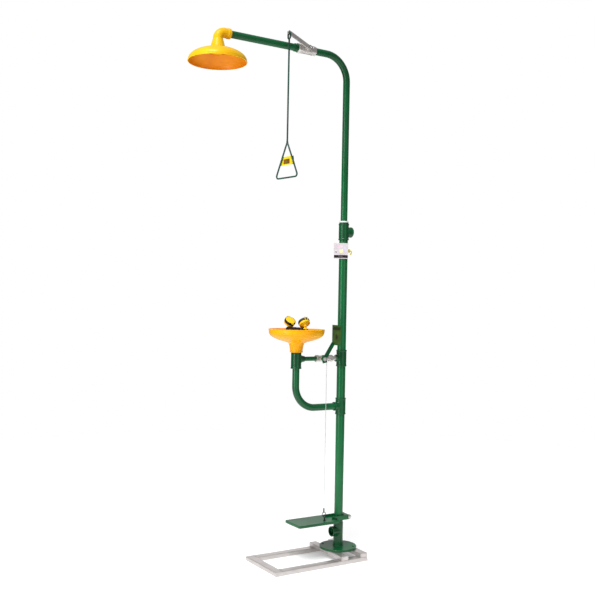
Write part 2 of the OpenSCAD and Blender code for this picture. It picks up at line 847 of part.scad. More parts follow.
module bowl() {
    color(amber) translate([bowl_x, 0, 0]) difference() {
        rotate_extrude() polygon(concat(
            [[0, bowl_foot_z], [bowl_foot_d / 2, bowl_foot_z],
             [bowl_foot_d / 2 + 1, bowl_foot_z + 0.35 * bowl_neck_h],
             [bowl_foot_d / 2 + 4.5, bowl_foot_z + 0.75 * bowl_neck_h]],
            dish(bowl_r, bowl_neck_d / 2, bowl_h, dish_z), [[0, bowl_rim_z]]));
        rotate_extrude() polygon(concat(
            [[0, dish_floor_z]],
            dish(bowl_r - bowl_wall, bowl_neck_d / 2, bowl_rim_z - dish_floor_z, dish_floor_z),
            [[bowl_r - bowl_wall, bowl_rim_z + 1], [0, bowl_rim_z + 1]]));
        translate([0, 0, bowl_foot_z - eps]) cylinder(r = bowl_bore, h = bowl_neck_h + bowl_h);
        translate([0, 0, dish_floor_z - strainer_t])
            cylinder(r = strainer_d / 2 + fit, h = strainer_t + eps);
    }
}

module bowl_strainer() {
    color(zinc) translate([bowl_x, 0, dish_floor_z - strainer_t]) difference() {
        cylinder(d = strainer_d, h = strainer_t);
        translate([0, 0, -eps]) cylinder(r = riser_tube_r + fit, h = strainer_t + 1);
        for (a = [0 : 45 : 315]) rotate([0, 0, a])
            translate([(riser_tube_r + bowl_bore) / 2 + 0.6, 0, -eps]) cylinder(r = 2.2, h = strainer_t + 1);
    }
}

// Tee under the bowl: waste runs down it, and the supply enters from the side
module bowl_tee() {
    color(green) translate([bowl_x, 0, 0]) difference() {
        union() {
            translate([0, 0, bowl_tee_z]) cylinder(r = bowl_tee_r, h = bowl_tee_h);
            bead(bowl_tee_r, bowl_tee_z);
            translate([0, 0, supply_z]) rod_x(bowl_tee_r - 6, 0, bowl_tee_r + 3);
            translate([tee_taper_x, 0, supply_z]) rotate([0, 90, 0])
                cylinder(r1 = bowl_tee_r - 7, r2 = supply_r + 3, h = tee_taper_l);
        }
        translate([0, 0, bowl_tee_z - eps]) cylinder(r = riser_in, h = bowl_tee_h + 1);
        translate([0, 0, bowl_tee_z + thread_depth + 4]) cylinder(r = bowl_bore, h = bowl_tee_h);
        translate([0, 0, bowl_tee_z - eps]) cylinder(r = riser_r + fit, h = thread_depth + eps);
        translate([0, 0, supply_z]) rod_x(riser_tube_r + fit, 0, bowl_tee_r + 30);
        translate([0, 0, supply_z])
            rod_x(supply_r + fit, tee_mouth_x - bowl_x - supply_depth, tee_mouth_x - bowl_x + eps);
    }
}

// Waste pipe from the bowl's tee down and round to the column
module drain_pipe() {
    color(green) {
        translate([bowl_x, 0, 0])
            tube(riser_r, riser_in, drain_z + drain_bend_r, bowl_tee_z + thread_depth);
        translate([bowl_x + drain_bend_r, 0, drain_z + drain_bend_r])
            quarter_bend(drain_bend_r, riser_r, riser_in, 180);
        translate([0, 0, drain_z])
            tube_x(riser_r, riser_in, bowl_x + drain_bend_r, column_x - drain_branch_reach + thread_depth);
    }
}

module supply_pipe() {
    color(green) translate([0, 0, supply_z])
        tube_x(supply_r, supply_in, tee_mouth_x - supply_depth, valve_low_x + socket_d);
}

// Tube that carries the water from the tee's side up to the manifold
module riser_tube() {
    color(zinc) translate([bowl_x, 0, supply_z]) difference() {
        union() {
            cylinder(r = riser_tube_r, h = manifold_z - supply_z + 6);
            sphere(r = riser_tube_r);
            rod_x(riser_tube_r, 0, bowl_tee_r + 5.8);
        }
        cylinder(r = riser_tube_r - riser_tube_wall, h = manifold_z);
        rod_x(riser_tube_r - riser_tube_wall, 0, bowl_tee_r + 10);
        sphere(r = riser_tube_r - riser_tube_wall);
    }
}

// ---- Eyewash nozzles ----

// Block with round ends that feeds both nozzles
module nozzle_manifold() {
    half = nozzle_y + 6 - manifold_w / 2;
    color(black) translate([bowl_x, 0, manifold_z]) difference() {
        union() {
            translate([-manifold_w / 2, -half, 0]) cube([manifold_w, 2 * half, manifold_h]);
            for (side = [-1, 1]) translate([0, side * half, 0]) cylinder(d = manifold_w, h = manifold_h);
        }
        translate([0, 0, -eps]) cylinder(r = riser_tube_r + fit, h = 6 + eps);
        translate([0, 0, 5]) cylinder(r = riser_tube_r - 2, h = manifold_h - 8);
        translate([0, 0, manifold_h - 7]) rod_y(4, -nozzle_y, nozzle_y);
        for (side = [-1, 1]) translate([0, side * nozzle_y, manifold_h - 7])
            cylinder(r = nozzle_stem_r - 2 + fit, h = 8);
    }
}

// One nozzle's own frame: +Z is the way it sprays; side is 1 on the far side
module at_nozzle(side) {
    translate([bowl_x, 0, 0]) mirror([0, side < 0 ? 1 : 0, 0])
        translate([0, nozzle_y, nozzle_z]) rotate([nozzle_tilt, 0, 0]) children();
}

// Stems with a ball seat on top and a spigot in the manifold
module nozzle_stems() {
    color(yellow) for (side = [-1, 1]) translate([bowl_x, side * nozzle_y, 0]) difference() {
        union() {
            translate([0, 0, manifold_top - 6]) cylinder(r = nozzle_stem_r - 2, h = 8);
            translate([0, 0, manifold_top])
                cylinder(r1 = nozzle_stem_r + 2, r2 = nozzle_stem_r - 3, h = 4);
            translate([0, 0, manifold_top]) cylinder(r = nozzle_stem_r - 3, h = nozzle_z - manifold_top);
            translate([0, 0, nozzle_z]) sphere(r = nozzle_stem_r);
        }
        translate([0, 0, manifold_top - 7]) cylinder(r = nozzle_bore_r, h = nozzle_z - manifold_top + 7);
        translate([0, 0, nozzle_z]) sphere(r = nozzle_bore_r + 0.7);
        mirror([0, side < 0 ? 1 : 0, 0]) translate([0, 0, nozzle_z]) rotate([nozzle_tilt, 0, 0])
            cylinder(r = nozzle_bore_r, h = 15);
    }
}

module nozzle_cups() {
    cup_side_z = cup_foot_h + cup_cone_h;
    color(yellow) for (side = [-1, 1]) at_nozzle(side) difference() {
        union() {
            translate([0, 0, cup_foot_h]) cylinder(r1 = nozzle_stem_r + 4, r2 = cup_r, h = cup_cone_h);
            translate([0, 0, cup_side_z - eps]) cylinder(r = cup_r, h = cup_h - cup_side_z);
            for (x = [-cover_lug_x, cover_lug_x]) translate([x - cover_lug_w / 2, cup_r - 4, cup_h - 8])
                cube([cover_lug_w, 7, 8 + ring_h + cover_h / 2 + knuckle_r]);
        }
        sphere(r = nozzle_stem_r + fit);
        cylinder(r = 4, h = cup_h + 1);
        translate([0, 0, nozzle_stem_r + 4]) cylinder(r = cup_r - cup_wall, h = cup_h);
        translate([0, cover_hinge_y, cover_hinge_z]) rod_x(hinge_pin_r, -20, 20);
        translate([0, 0, cup_h]) cylinder(r = cup_r + 0.6, h = ring_h + cover_h + 3);
    }
}

// Rubber rings on the cups' mouths
module nozzle_rings() {
    color(black) for (side = [-1, 1]) at_nozzle(side) difference() {
        translate([0, 0, cup_h]) cylinder(r = cup_r + 0.4, h = ring_h);
        translate([0, 0, cup_h - 1]) cylinder(r = cup_r - 5, h = ring_h + 2);
    }
}

// Perforated discs inside the cups
module spray_discs() {
    color(white) for (side = [-1, 1]) at_nozzle(side) difference() {
        translate([0, 0, cup_h - 4]) cylinder(r = cup_r - cup_wall - fit, h = 3);
        for (a = [0 : 30 : 330]) rotate([0, 0, a]) translate([cup_r * 0.62, 0, cup_h - 5])
            cylinder(r = 1.1, h = 5, $fn = 16);
        for (a = [0 : 60 : 300]) rotate([0, 0, a]) translate([cup_r * 0.33, 0, cup_h - 5])
            cylinder(r = 1.1, h = 5, $fn = 16);
    }
}

// Dust cover with its knuckle and pin
module dust_cover(side) {
    color(yellow) at_nozzle(side) {
        translate([0, 0, cup_h + ring_h]) {
            cylinder(r = cup_r - 0.5, h = cover_h - 1);
            translate([0, 0, cover_h - 1]) cylinder(r1 = cup_r - 0.5, r2 = cup_r - 3, h = 1);
        }
        translate([0, cover_hinge_y, cover_hinge_z]) {
            rod_x(knuckle_r, -4.2, 4.2);
            rod_x(hinge_pin_r - run_fit, -8.5, 8.5);
            translate([-4.2, -4, -cover_h / 2]) cube([8.4, 4, cover_h]);
        }
    }
}

module dust_cover_near() {
    dust_cover(-1);
}

module dust_cover_far() {
    dust_cover(1);
}

// ---- Eyewash valve ----

module at_eyewash_valve() {
    translate([eyewash_valve_x, 0, supply_z]) children();
}

module eyewash_valve_body() {
    color(zinc) at_eyewash_valve() valve_body(eyewash_valve_l, eyewash_body_r, eyewash_ball_r, supply_r);
}

module eyewash_valve_cap() {
    color(zinc) at_eyewash_valve() valve_cap(eyewash_valve_l, eyewash_body_r, eyewash_ball_r, supply_r);
}

module eyewash_seats() {
    color(white) at_eyewash_valve() valve_seats(eyewash_ball_r);
}

module eyewash_gland_nut() {
    color(zinc) at_eyewash_valve() gland_nut(eyewash_body_r);
}

// Tail with a union nut between the valve and the column's tee
module union_tail() {
    nut_x = (valve_high_x + supply_branch_x) / 2 + 2;
    color(zinc) translate([0, 0, supply_z]) difference() {
        union() {
            rod_x(supply_r, valve_high_x - socket_d, supply_branch_x + supply_depth);
            hex_x(supply_r + 6, nut_x - 11, nut_x + 9);
        }
        rod_x(supply_in, valve_high_x - socket_d - eps, supply_branch_x + supply_depth + eps);
    }
}

// Ball, stem and lever nut, which turn with the lever
module eyewash_moving_valve() {
    color(zinc) at_eyewash_valve() {
        valve_ball(eyewash_ball_r);
        valve_stem(eyewash_ball_r, plate_y - plate_t - nut_h - 1);
        lever_nut(plate_y - plate_t);
    }
}

// Hub, arm and flag of the eyewash lever, with the pin that pulls the wire
module eyewash_lever() {
    arm_end = [flag_x - eyewash_valve_x - flag_t / 2, flag_rise - flag_h / 2 + 8];
    arm_turn = atan2(arm_end[0], arm_end[1]);
    color(green) at_eyewash_valve() difference() {
        union() {
            rod_y(hub_r, plate_y - 1, hub_y);
            translate([0, plate_y, 0]) rotate([90, 0, 0]) linear_extrude(plate_t) {
                rotate(10) square([2 * hub_r, hub_l], center = true);
                rotate(-arm_turn) translate([-arm_w / 2, 0]) square([arm_w, norm(arm_end)]);
            }
            translate([flag_x - eyewash_valve_x - flag_t, -flag_in - flag_w, flag_rise - flag_h / 2])
                cube([flag_t, flag_w, flag_h]);
            translate([pin_x - eyewash_valve_x, 0, pin_z - supply_z]) {
                rod_y(pin_r, plate_y - 2, plate_y + 5.5);
                rod_y(pin_r + 2, plate_y + 5, plate_y + 6.5);
            }
        }
        rod_y(stem_r + fit, plate_y - plate_t - eps, hub_y + eps);
    }
}

// ---- Foot control ----

// Wire with its upper eye round the lever's pin
module pull_wire() {
    color(zinc) translate([pin_x, wire_y, 0]) {
        translate([0, 0, pin_z]) rotate([90, 0, 0]) rotate_extrude()
            translate([wire_eye_r, 0]) circle(r = wire_r);
        translate([0, 0, link_top + link_r])
            cylinder(r = wire_r, h = pin_z - wire_eye_r - link_top - link_r);
        translate([0, 0, pin_z - 30]) cylinder(r = 2.2 * wire_r, h = 16);
    }
}

// Link at the wire's lower end, through the pedal's eye
module wire_link() {
    straight = link_w / 2 + link_r - link_corner;
    color(zinc) translate([pin_x, wire_y, link_z]) {
        for (z = [0, link_h]) translate([0, 0, z]) rod_x(link_r, -straight, straight);
        for (side = [0, 1]) mirror([side, 0, 0]) {
            translate([straight, 0, link_corner]) quarter_bend(link_corner, link_r, 0, 270);
            translate([straight, 0, link_h - link_corner]) quarter_bend(link_corner, link_r, 0, 0);
            translate([straight + link_corner, 0, link_corner])
                cylinder(r = link_r, h = link_h - 2 * link_corner);
        }
        translate([0, 0, link_h]) difference() {
            cylinder(r = 2 * link_r, h = sleeve_l);
            translate([0, 0, link_r]) cylinder(r = wire_r + run_fit, h = sleeve_l);
        }
    }
}

// Clamp ring on the column with a lug behind it for the pivot bolt
module pedal_collar() {
    color(green) difference() {
        union() {
            translate([column_x, 0, 0])
                tube(collar_r, column_r + fit, pedal_z - collar_h / 2, pedal_z + collar_h / 2);
            translate([column_x + column_r + 2, -yoke_in + 0.5, pedal_z - lug_h / 2])
                cube([pivot_reach - column_r - 2, 2 * yoke_in - 1, lug_h]);
            translate([pivot_x, 0, pedal_z]) rod_y(lug_h / 2, -yoke_in + 0.5, yoke_in - 0.5);
        }
        translate([column_x, 0, 0]) cylinder(r = column_r + fit, h = arm_z);
        translate([pivot_x, 0, pedal_z]) rod_y(pivot_d / 2 + fit, -yoke_in, yoke_in);
    }
}

// Folded tread with two arms that pass either side of the column
module pedal_plate() {
    tip_x = pedal_rear_x - pedal_l;
    color(green) difference() {
        union() {
            translate([tip_x, -pedal_w / 2, pedal_z - pedal_t]) cube([pedal_l, pedal_w, pedal_t]);
            translate([tip_x, -pedal_w / 2, pedal_z - pedal_fold])
                cube([pedal_t, pedal_w, pedal_fold]);
            for (side = [0, 1]) mirror([0, side, 0]) {
                translate([tip_x, pedal_w / 2 - pedal_t, pedal_z - pedal_fold])
                    cube([pedal_l, pedal_t, pedal_fold]);
                translate([yoke_pad_x, yoke_in, pedal_z - arm_h / 2])
                    cube([pivot_x - yoke_pad_x, yoke_t, arm_h]);
                translate([pivot_x, 0, pedal_z]) rod_y(arm_h / 2, yoke_in, yoke_in + yoke_t);
            }
        }
        translate([pivot_x, 0, pedal_z]) rod_y(pivot_d / 2 + run_fit, -yoke_in - 10, yoke_in + 10);
        translate([pedal_eye_x, wire_y, pedal_z - 20]) cylinder(r = eye_bolt_r + fit, h = 40);
    }
}

// Bolt through the lug and both arms, with its head and nut
module pedal_pivot_bolt() {
    out = yoke_in + yoke_t + gap;
    color(zinc) translate([pivot_x, 0, pedal_z]) {
        rod_y(pivot_d / 2, -out - 1, out + 1);
        for (side = [-90, 90]) rotate([side, 0, 0]) translate([0, 0, out])
            cylinder(r = pivot_d * 0.9, h = bolt_head_h, $fn = 6);
    }
}

// Eye bolt on the tread, with nuts over and under the sheet
module pedal_eye() {
    color(zinc) translate([pedal_eye_x, wire_y, 0]) {
        translate([0, 0, pedal_eye_z]) rotate([90, 0, 90]) rotate_extrude()
            translate([eye_in + eye_wire_r, 0]) circle(r = eye_wire_r);
        translate([0, 0, pedal_z - pedal_t - 7])
            cylinder(r = eye_bolt_r, h = pedal_eye_z - eye_in - eye_wire_r - pedal_z + pedal_t + 7);
        for (z = [pedal_z, pedal_z - pedal_t - eye_nut_h]) translate([0, 0, z])
            cylinder(r = eye_nut_r, h = eye_nut_h, $fn = 6);
    }
}

// ---- Inspection tag ----

// Card in front of the column on a plastic tie, with the tie's head and tail
module inspection_tag() {
    tie_in = column_r + fit;
    tie_t = 1.6;
    card_t = 1.8;
    card_y = -(tie_in + tie_t - 0.2);     // the card's back, just inside the tie
    card_mid_x = -13;
    color(white) translate([column_x, 0, tag_z]) rotate([0, 0, tag_turn]) {
        tube(tie_in + tie_t, tie_in, -4, 1);
        translate([column_r, -4, -6]) cube([9, 5, 10]);
        difference() {
            translate([card_mid_x - tag_w / 2, card_y - card_t, -tag_h / 2]) cube([tag_w, card_t, tag_h]);
            translate([card_mid_x - tag_w / 2 + 8, 0, 0]) rod_y(2.5, card_y - 3, card_y + 3);
        }
    }
}

stand_rail_near();
stand_rail_far();
stand_end_tube();
stand_cross_front();
stand_cross_rear();
base_flange();
waste_tee();
column_lower();
column_middle();
column_plug();
column_upper();
drain_tee();
supply_tee();
inlet_tee();
reducer_bush();
gasket_ring();
bent_pipe();
shower_valve_body();
shower_valve_cap();
shower_seats();
shower_gland_nut();
shower_ball();
shower_stem();
shower_lever();
shower_lever_nut();
arm_coupling();
head_pipe();
head_elbow();
head_bell();
spray_plate();
pull_rod();
pull_triangle();
pull_sign();
bowl();
bowl_strainer();
bowl_tee();
drain_pipe();
supply_pipe();
riser_tube();
nozzle_manifold();
nozzle_stems();
nozzle_cups();
nozzle_rings();
spray_discs();
dust_cover_near();
dust_cover_far();
eyewash_valve_body();
eyewash_valve_cap();
eyewash_seats();
eyewash_gland_nut();
union_tail();
eyewash_moving_valve();
eyewash_lever();
pull_wire();
wire_link();
pedal_collar();
pedal_plate();
pedal_pivot_bolt();
pedal_eye();
inspection_tag();
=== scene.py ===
import json
import math

import bmesh
import bpy
from mathutils import Matrix, Vector


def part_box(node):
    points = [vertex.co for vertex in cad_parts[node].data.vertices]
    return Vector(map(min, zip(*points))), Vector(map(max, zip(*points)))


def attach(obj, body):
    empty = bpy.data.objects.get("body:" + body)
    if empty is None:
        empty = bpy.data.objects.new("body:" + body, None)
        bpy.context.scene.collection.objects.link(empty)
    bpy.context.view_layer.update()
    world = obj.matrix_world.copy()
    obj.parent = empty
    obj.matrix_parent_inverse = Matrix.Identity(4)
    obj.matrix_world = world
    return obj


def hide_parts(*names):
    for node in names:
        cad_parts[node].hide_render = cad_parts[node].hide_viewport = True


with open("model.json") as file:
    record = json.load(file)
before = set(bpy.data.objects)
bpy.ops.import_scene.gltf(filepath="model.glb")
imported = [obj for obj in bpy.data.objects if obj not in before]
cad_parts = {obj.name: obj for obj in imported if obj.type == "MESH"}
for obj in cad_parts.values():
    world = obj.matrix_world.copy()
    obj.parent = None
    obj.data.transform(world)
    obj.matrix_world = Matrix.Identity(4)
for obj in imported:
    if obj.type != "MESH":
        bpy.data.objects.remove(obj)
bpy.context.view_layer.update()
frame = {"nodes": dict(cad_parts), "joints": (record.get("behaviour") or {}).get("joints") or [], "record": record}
nodes = frame["nodes"]
joints = {joint["name"]: joint for joint in frame["joints"]}
mounts = {mount["name"]: mount for mount in frame["record"]["mounts"]}
slot_of = {part["node"]: part["material_slot"] for part in frame["record"]["subparts"]}
body_of = {node: body for body, names in frame["record"]["behaviour"]["bodies"].items() for node in names}

MM = 0.001
X = Vector((1, 0, 0))
Y = Vector((0, 1, 0))
Z = Vector((0, 0, 1))


# ---- Places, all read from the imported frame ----

def middle(node):
    low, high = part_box(node)
    return (low + high) / 2


def extent(node):
    low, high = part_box(node)
    return high - low


def joint_place(name):
    return Vector(joints[name]["pos_m"])


column = Vector((Vector(mounts["base_bolts"]["pos_m"]).x, 0, 0))
column_r = extent("column_upper").x / 2
riser_r = extent("head_pipe").y / 2
head = Vector((middle("head_bell").x, 0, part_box("head_bell")[0].z))
bowl_axis = Vector((middle("bowl").x, 0, 0))
shower_valve = joint_place("shower_valve_turn")
eyewash_valve = joint_place("eyewash_valve_turn")
pedal_pivot = joint_place("pedal_tilt")


# ---- Mesh helpers ----

def turned_to(axis):
    """Matrix that turns +Z to the axis."""
    return Z.rotation_difference(Vector(axis)).to_matrix().to_4x4()


def at(place, axis=Z):
    return Matrix.Translation(place) @ turned_to(axis)


def add_piece(name, data, body, slot, hides=(), sharp=35, look=None):
    """Makes a piece from a bmesh, mesh or curve, with its finish, its body and the CAD nodes it stands for."""
    if isinstance(data, bmesh.types.BMesh):
        bmesh.ops.recalc_face_normals(data, faces=data.faces)
        mesh = bpy.data.meshes.new(name)
        data.to_mesh(mesh)
        data.free()
        data = mesh
    if isinstance(data, bpy.types.Mesh):
        data.shade_smooth()
        data.set_sharp_from_angle(angle=math.radians(sharp))
    data.materials.clear()
    data.materials.append(look or SLOT_LOOKS[slot])
    piece = bpy.data.objects.new(name, data)
    bpy.context.scene.collection.objects.link(piece)
    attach(piece, body)
    if hides:
        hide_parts(*hides)
    return piece


def modifier(piece, kind, **settings):
    made = piece.modifiers.new(kind.lower(), kind)
    for name, value in settings.items():
        setattr(made, name, value)


def round_edges(piece, width, segments=3, angle=35):
    modifier(piece, "BEVEL", width=width, segments=segments, limit_method="ANGLE",
             angle_limit=math.radians(angle), use_clamp_overlap=True)
    modifier(piece, "WEIGHTED_NORMAL", keep_sharp=False)


def cad_copy(node):
    """The node's mesh with its flat faces joined up again."""
    bm = bmesh.new()
    bm.from_mesh(nodes[node].data)
    bmesh.ops.remove_doubles(bm, verts=bm.verts, dist=1e-6)
    bmesh.ops.dissolve_limit(bm, angle_limit=math.radians(0.6), verts=bm.verts, edges=bm.edges)
    return bm


def softened(node, width=0.5 * MM, segments=3):
    """A piece of the node's own shape with its edges rounded."""
    piece = add_piece(node + "_shape", cad_copy(node), body_of[node], slot_of[node], hides=[node])
    round_edges(piece, width, segments)
    return piece


def cast(node, voxel=1.2 * MM, rounds=5):
    """A piece of the node's own shape with the filleted corners of a casting."""
    piece = add_piece(node + "_shape", cad_copy(node), body_of[node], slot_of[node], hides=[node])
    modifier(piece, "REMESH", mode="VOXEL", voxel_size=voxel, use_smooth_shade=True)
    modifier(piece, "SMOOTH", factor=0.5, iterations=rounds)
    return piece


def rounded(points, closed=True, steps=4):
    """Outline of (x, y, fillet) points, each corner replaced by a curve that starts a fillet away from it."""
    out = []
    count = len(points)
    for i, (x, y, fillet) in enumerate(points):
        here = Vector((x, y))
        ends = not closed and i in (0, count - 1)
        if fillet == 0 or ends:
            out.append(here)
            continue
        before = Vector(points[i - 1][:2])
        after = Vector(points[(i + 1) % count][:2])
        start = here + (before - here).normalized() * fillet
        end = here + (after - here).normalized() * fillet
        for k in range(steps + 1):
            t = k / steps
            out.append(start * (1 - t) ** 2 + here * 2 * t * (1 - t) + end * t ** 2)
    return out


def join_rings(bm, rings, closed_rings=True, loop=False):
    """Faces between neighbouring rings of vertices; a ring of one vertex is a tip."""
    pairs = list(zip(rings, rings[1:]))
    if loop:
        pairs.append((rings[-1], rings[0]))
    for low, high in pairs:
        count = max(len(low), len(high))
        for i in range(count if closed_rings else count - 1):
            j = (i + 1) % count
            corners = [low[i % len(low)], low[j % len(low)], high[j % len(high)], high[i % len(high)]]
            corners = list(dict.fromkeys(corners))
            if len(corners) >= 3:
                bm.faces.new(corners)


def lathe(outline, segments=96, loop=True, ripple=None):
    """Revolves (radius, height) points round Z; ripple(angle, radius, height) may change the radius."""
    bm = bmesh.new()
    rings = []
    for radius, height in outline:
        if radius < 1e-7:
            rings.append([bm.verts.new((0, 0, height))])
            continue
        ring = []
        for i in range(segments):
            angle = 2 * math.pi * i / segments
            r = ripple(angle, radius, height) if ripple else radius
            ring.append(bm.verts.new((r * math.cos(angle), r * math.sin(angle), height)))
        rings.append(ring)
    join_rings(bm, rings, loop=loop)
    return bm


def placed(bm, matrix):
    bm.transform(matrix)
    return bm


def merged(*parts):
    """One bmesh that holds several."""
    whole = bmesh.new()
    for part in parts:
        mesh = bpy.data.meshes.new("part")
        part.to_mesh(mesh)
        part.free()
        whole.from_mesh(mesh)
        bpy.data.meshes.remove(mesh)
    return whole


def hexagon(across_flats, height, bore=0.0, chamfer=0.92):
    """Nut or bolt head, standing on Z = 0, with the round chamfer that turning leaves on its corners."""
    flat = across_flats / 2
    turned = flat / math.cos(math.radians(30)) * chamfer
    slope = math.tan(math.radians(30))
    segments = 72
    bm = bmesh.new()
    rings = [[], [], [], []]
    for i in range(segments):
        angle = 2 * math.pi * i / segments
        off = (angle + math.pi / 6) % (math.pi / 3) - math.pi / 6
        side = flat / math.cos(off)
        cut = max(0.0, side - turned) * slope
        for ring, radius, z in ((0, min(side, turned), 0.0), (1, side, cut),
                                (2, side, height - cut), (3, min(side, turned), height)):
            rings[ring].append(bm.verts.new((radius * math.cos(angle), radius * math.sin(angle), z)))
    if bore:
        for z in (height, 0.0):
            rings.append([bm.verts.new((bore * math.cos(2 * math.pi * i / segments),
                                        bore * math.sin(2 * math.pi * i / segments), z))
                          for i in range(segments)])
        join_rings(bm, rings, loop=True)
    else:
        join_rings(bm, [[bm.verts.new((0, 0, 0))]] + rings + [[bm.verts.new((0, 0, height))]])
    return bm


def washer(inner, outer, height):
    edge = min(height, outer - inner) * 0.2
    return lathe(rounded([(inner, 0, edge), (outer, 0, edge), (outer, height, edge), (inner, height, edge)]), 48)


def thread(radius, length, pitch, depth=None):
    """Solid rod with a helical thread, standing on Z = 0."""
    depth = depth or 0.55 * pitch
    segments = 32
    levels = max(2, int(length / pitch * 6))
    bm = bmesh.new()
    rings = [[bm.verts.new((0, 0, 0))]]
    for k in range(levels + 1):
        z = length * k / levels
        end = min(1.0, min(z, length - z) / pitch)
        ring = []
        for i in range(segments):
            phase = (z / pitch - i / segments) % 1.0
            r = radius - depth * (1 - end * (1 - abs(2 * phase - 1)))
            angle = 2 * math.pi * i / segments
            ring.append(bm.verts.new((r * math.cos(angle), r * math.sin(angle), z)))
        rings.append(ring)
    rings.append([bm.verts.new((0, 0, length))])
    join_rings(bm, rings)
    return bm


def wire(name, paths, radius, body, slot, cyclic=False, hides=(), swell=None, look=None, sides=12):
    """Round bar along each path of points; swell(i) may change the thickness along it."""
    bm = bmesh.new()
    for path in paths:
        rings = []
        side = None
        for i, place in enumerate(path):
            before = path[i - 1] if i or cyclic else place
            after = path[(i + 1) % len(path)] if i < len(path) - 1 or cyclic else place
            ahead = (after - before).normalized()
            side = side or ahead.orthogonal()
            side = (side - ahead * side.dot(ahead)).normalized()
            other = ahead.cross(side)
            r = radius * (swell(i) if swell else 1.0)
            rings.append([bm.verts.new(place + (side * math.cos(turn) + other * math.sin(turn)) * r)
                          for turn in (2 * math.pi * k / sides for k in range(sides))])
        if not cyclic:
            rings = [[bm.verts.new(path[0])]] + rings + [[bm.verts.new(path[-1])]]
        join_rings(bm, rings, loop=cyclic)
    return add_piece(name, bm, body, slot, hides, sharp=60, look=look)


def circle_path(place, axis, radius, steps=48):
    turn = at(place, axis)
    return [turn @ Vector((radius * math.cos(2 * math.pi * i / steps), radius * math.sin(2 * math.pi * i / steps), 0))
            for i in range(steps)]


def between(start, end, step):
    """Points along a straight line, about a step apart."""
    count = max(2, int((end - start).length / step))
    return [start.lerp(end, i / count) for i in range(count + 1)]


def weld(name, paths, body, slot, radius=2.2 * MM, cyclic=False, look=None):
    """Weld bead with the ripples that each drop of metal leaves."""
    return wire(name, paths, radius, body, slot, cyclic, look=look,
                swell=lambda i: 0.86 + 0.14 * math.sin(i * 2.1))


def plate(outline, thickness):
    """Flat plate of (x, y) points in the XY plane, from Z = 0 up."""
    bm = bmesh.new()
    low = [bm.verts.new((x, y, 0)) for x, y in outline]
    high = [bm.verts.new((x, y, thickness)) for x, y in outline]
    bm.faces.new(low[::-1])
    bm.faces.new(high)
    join_rings(bm, [low, high])
    return bm


def rounded_box(width, height, fillet, steps=5):
    """Outline of a rectangle round the origin with rounded corners."""
    w, h = width / 2, height / 2
    return rounded([(-w, -h, fillet), (w, -h, fillet), (w, h, fillet), (-w, h, fillet)], steps=steps)


# ---- Materials ----

def srgb(red, green, blue):
    """Linear colour of an sRGB colour given in 0..255."""
    def linear(value):
        value /= 255
        return value / 12.92 if value <= 0.04045 else ((value + 0.055) / 1.055) ** 2.4
    return (linear(red), linear(green), linear(blue), 1.0)


def scaled(colour, factor):
    return tuple(min(1.0, channel * factor) for channel in colour[:3]) + (1.0,)


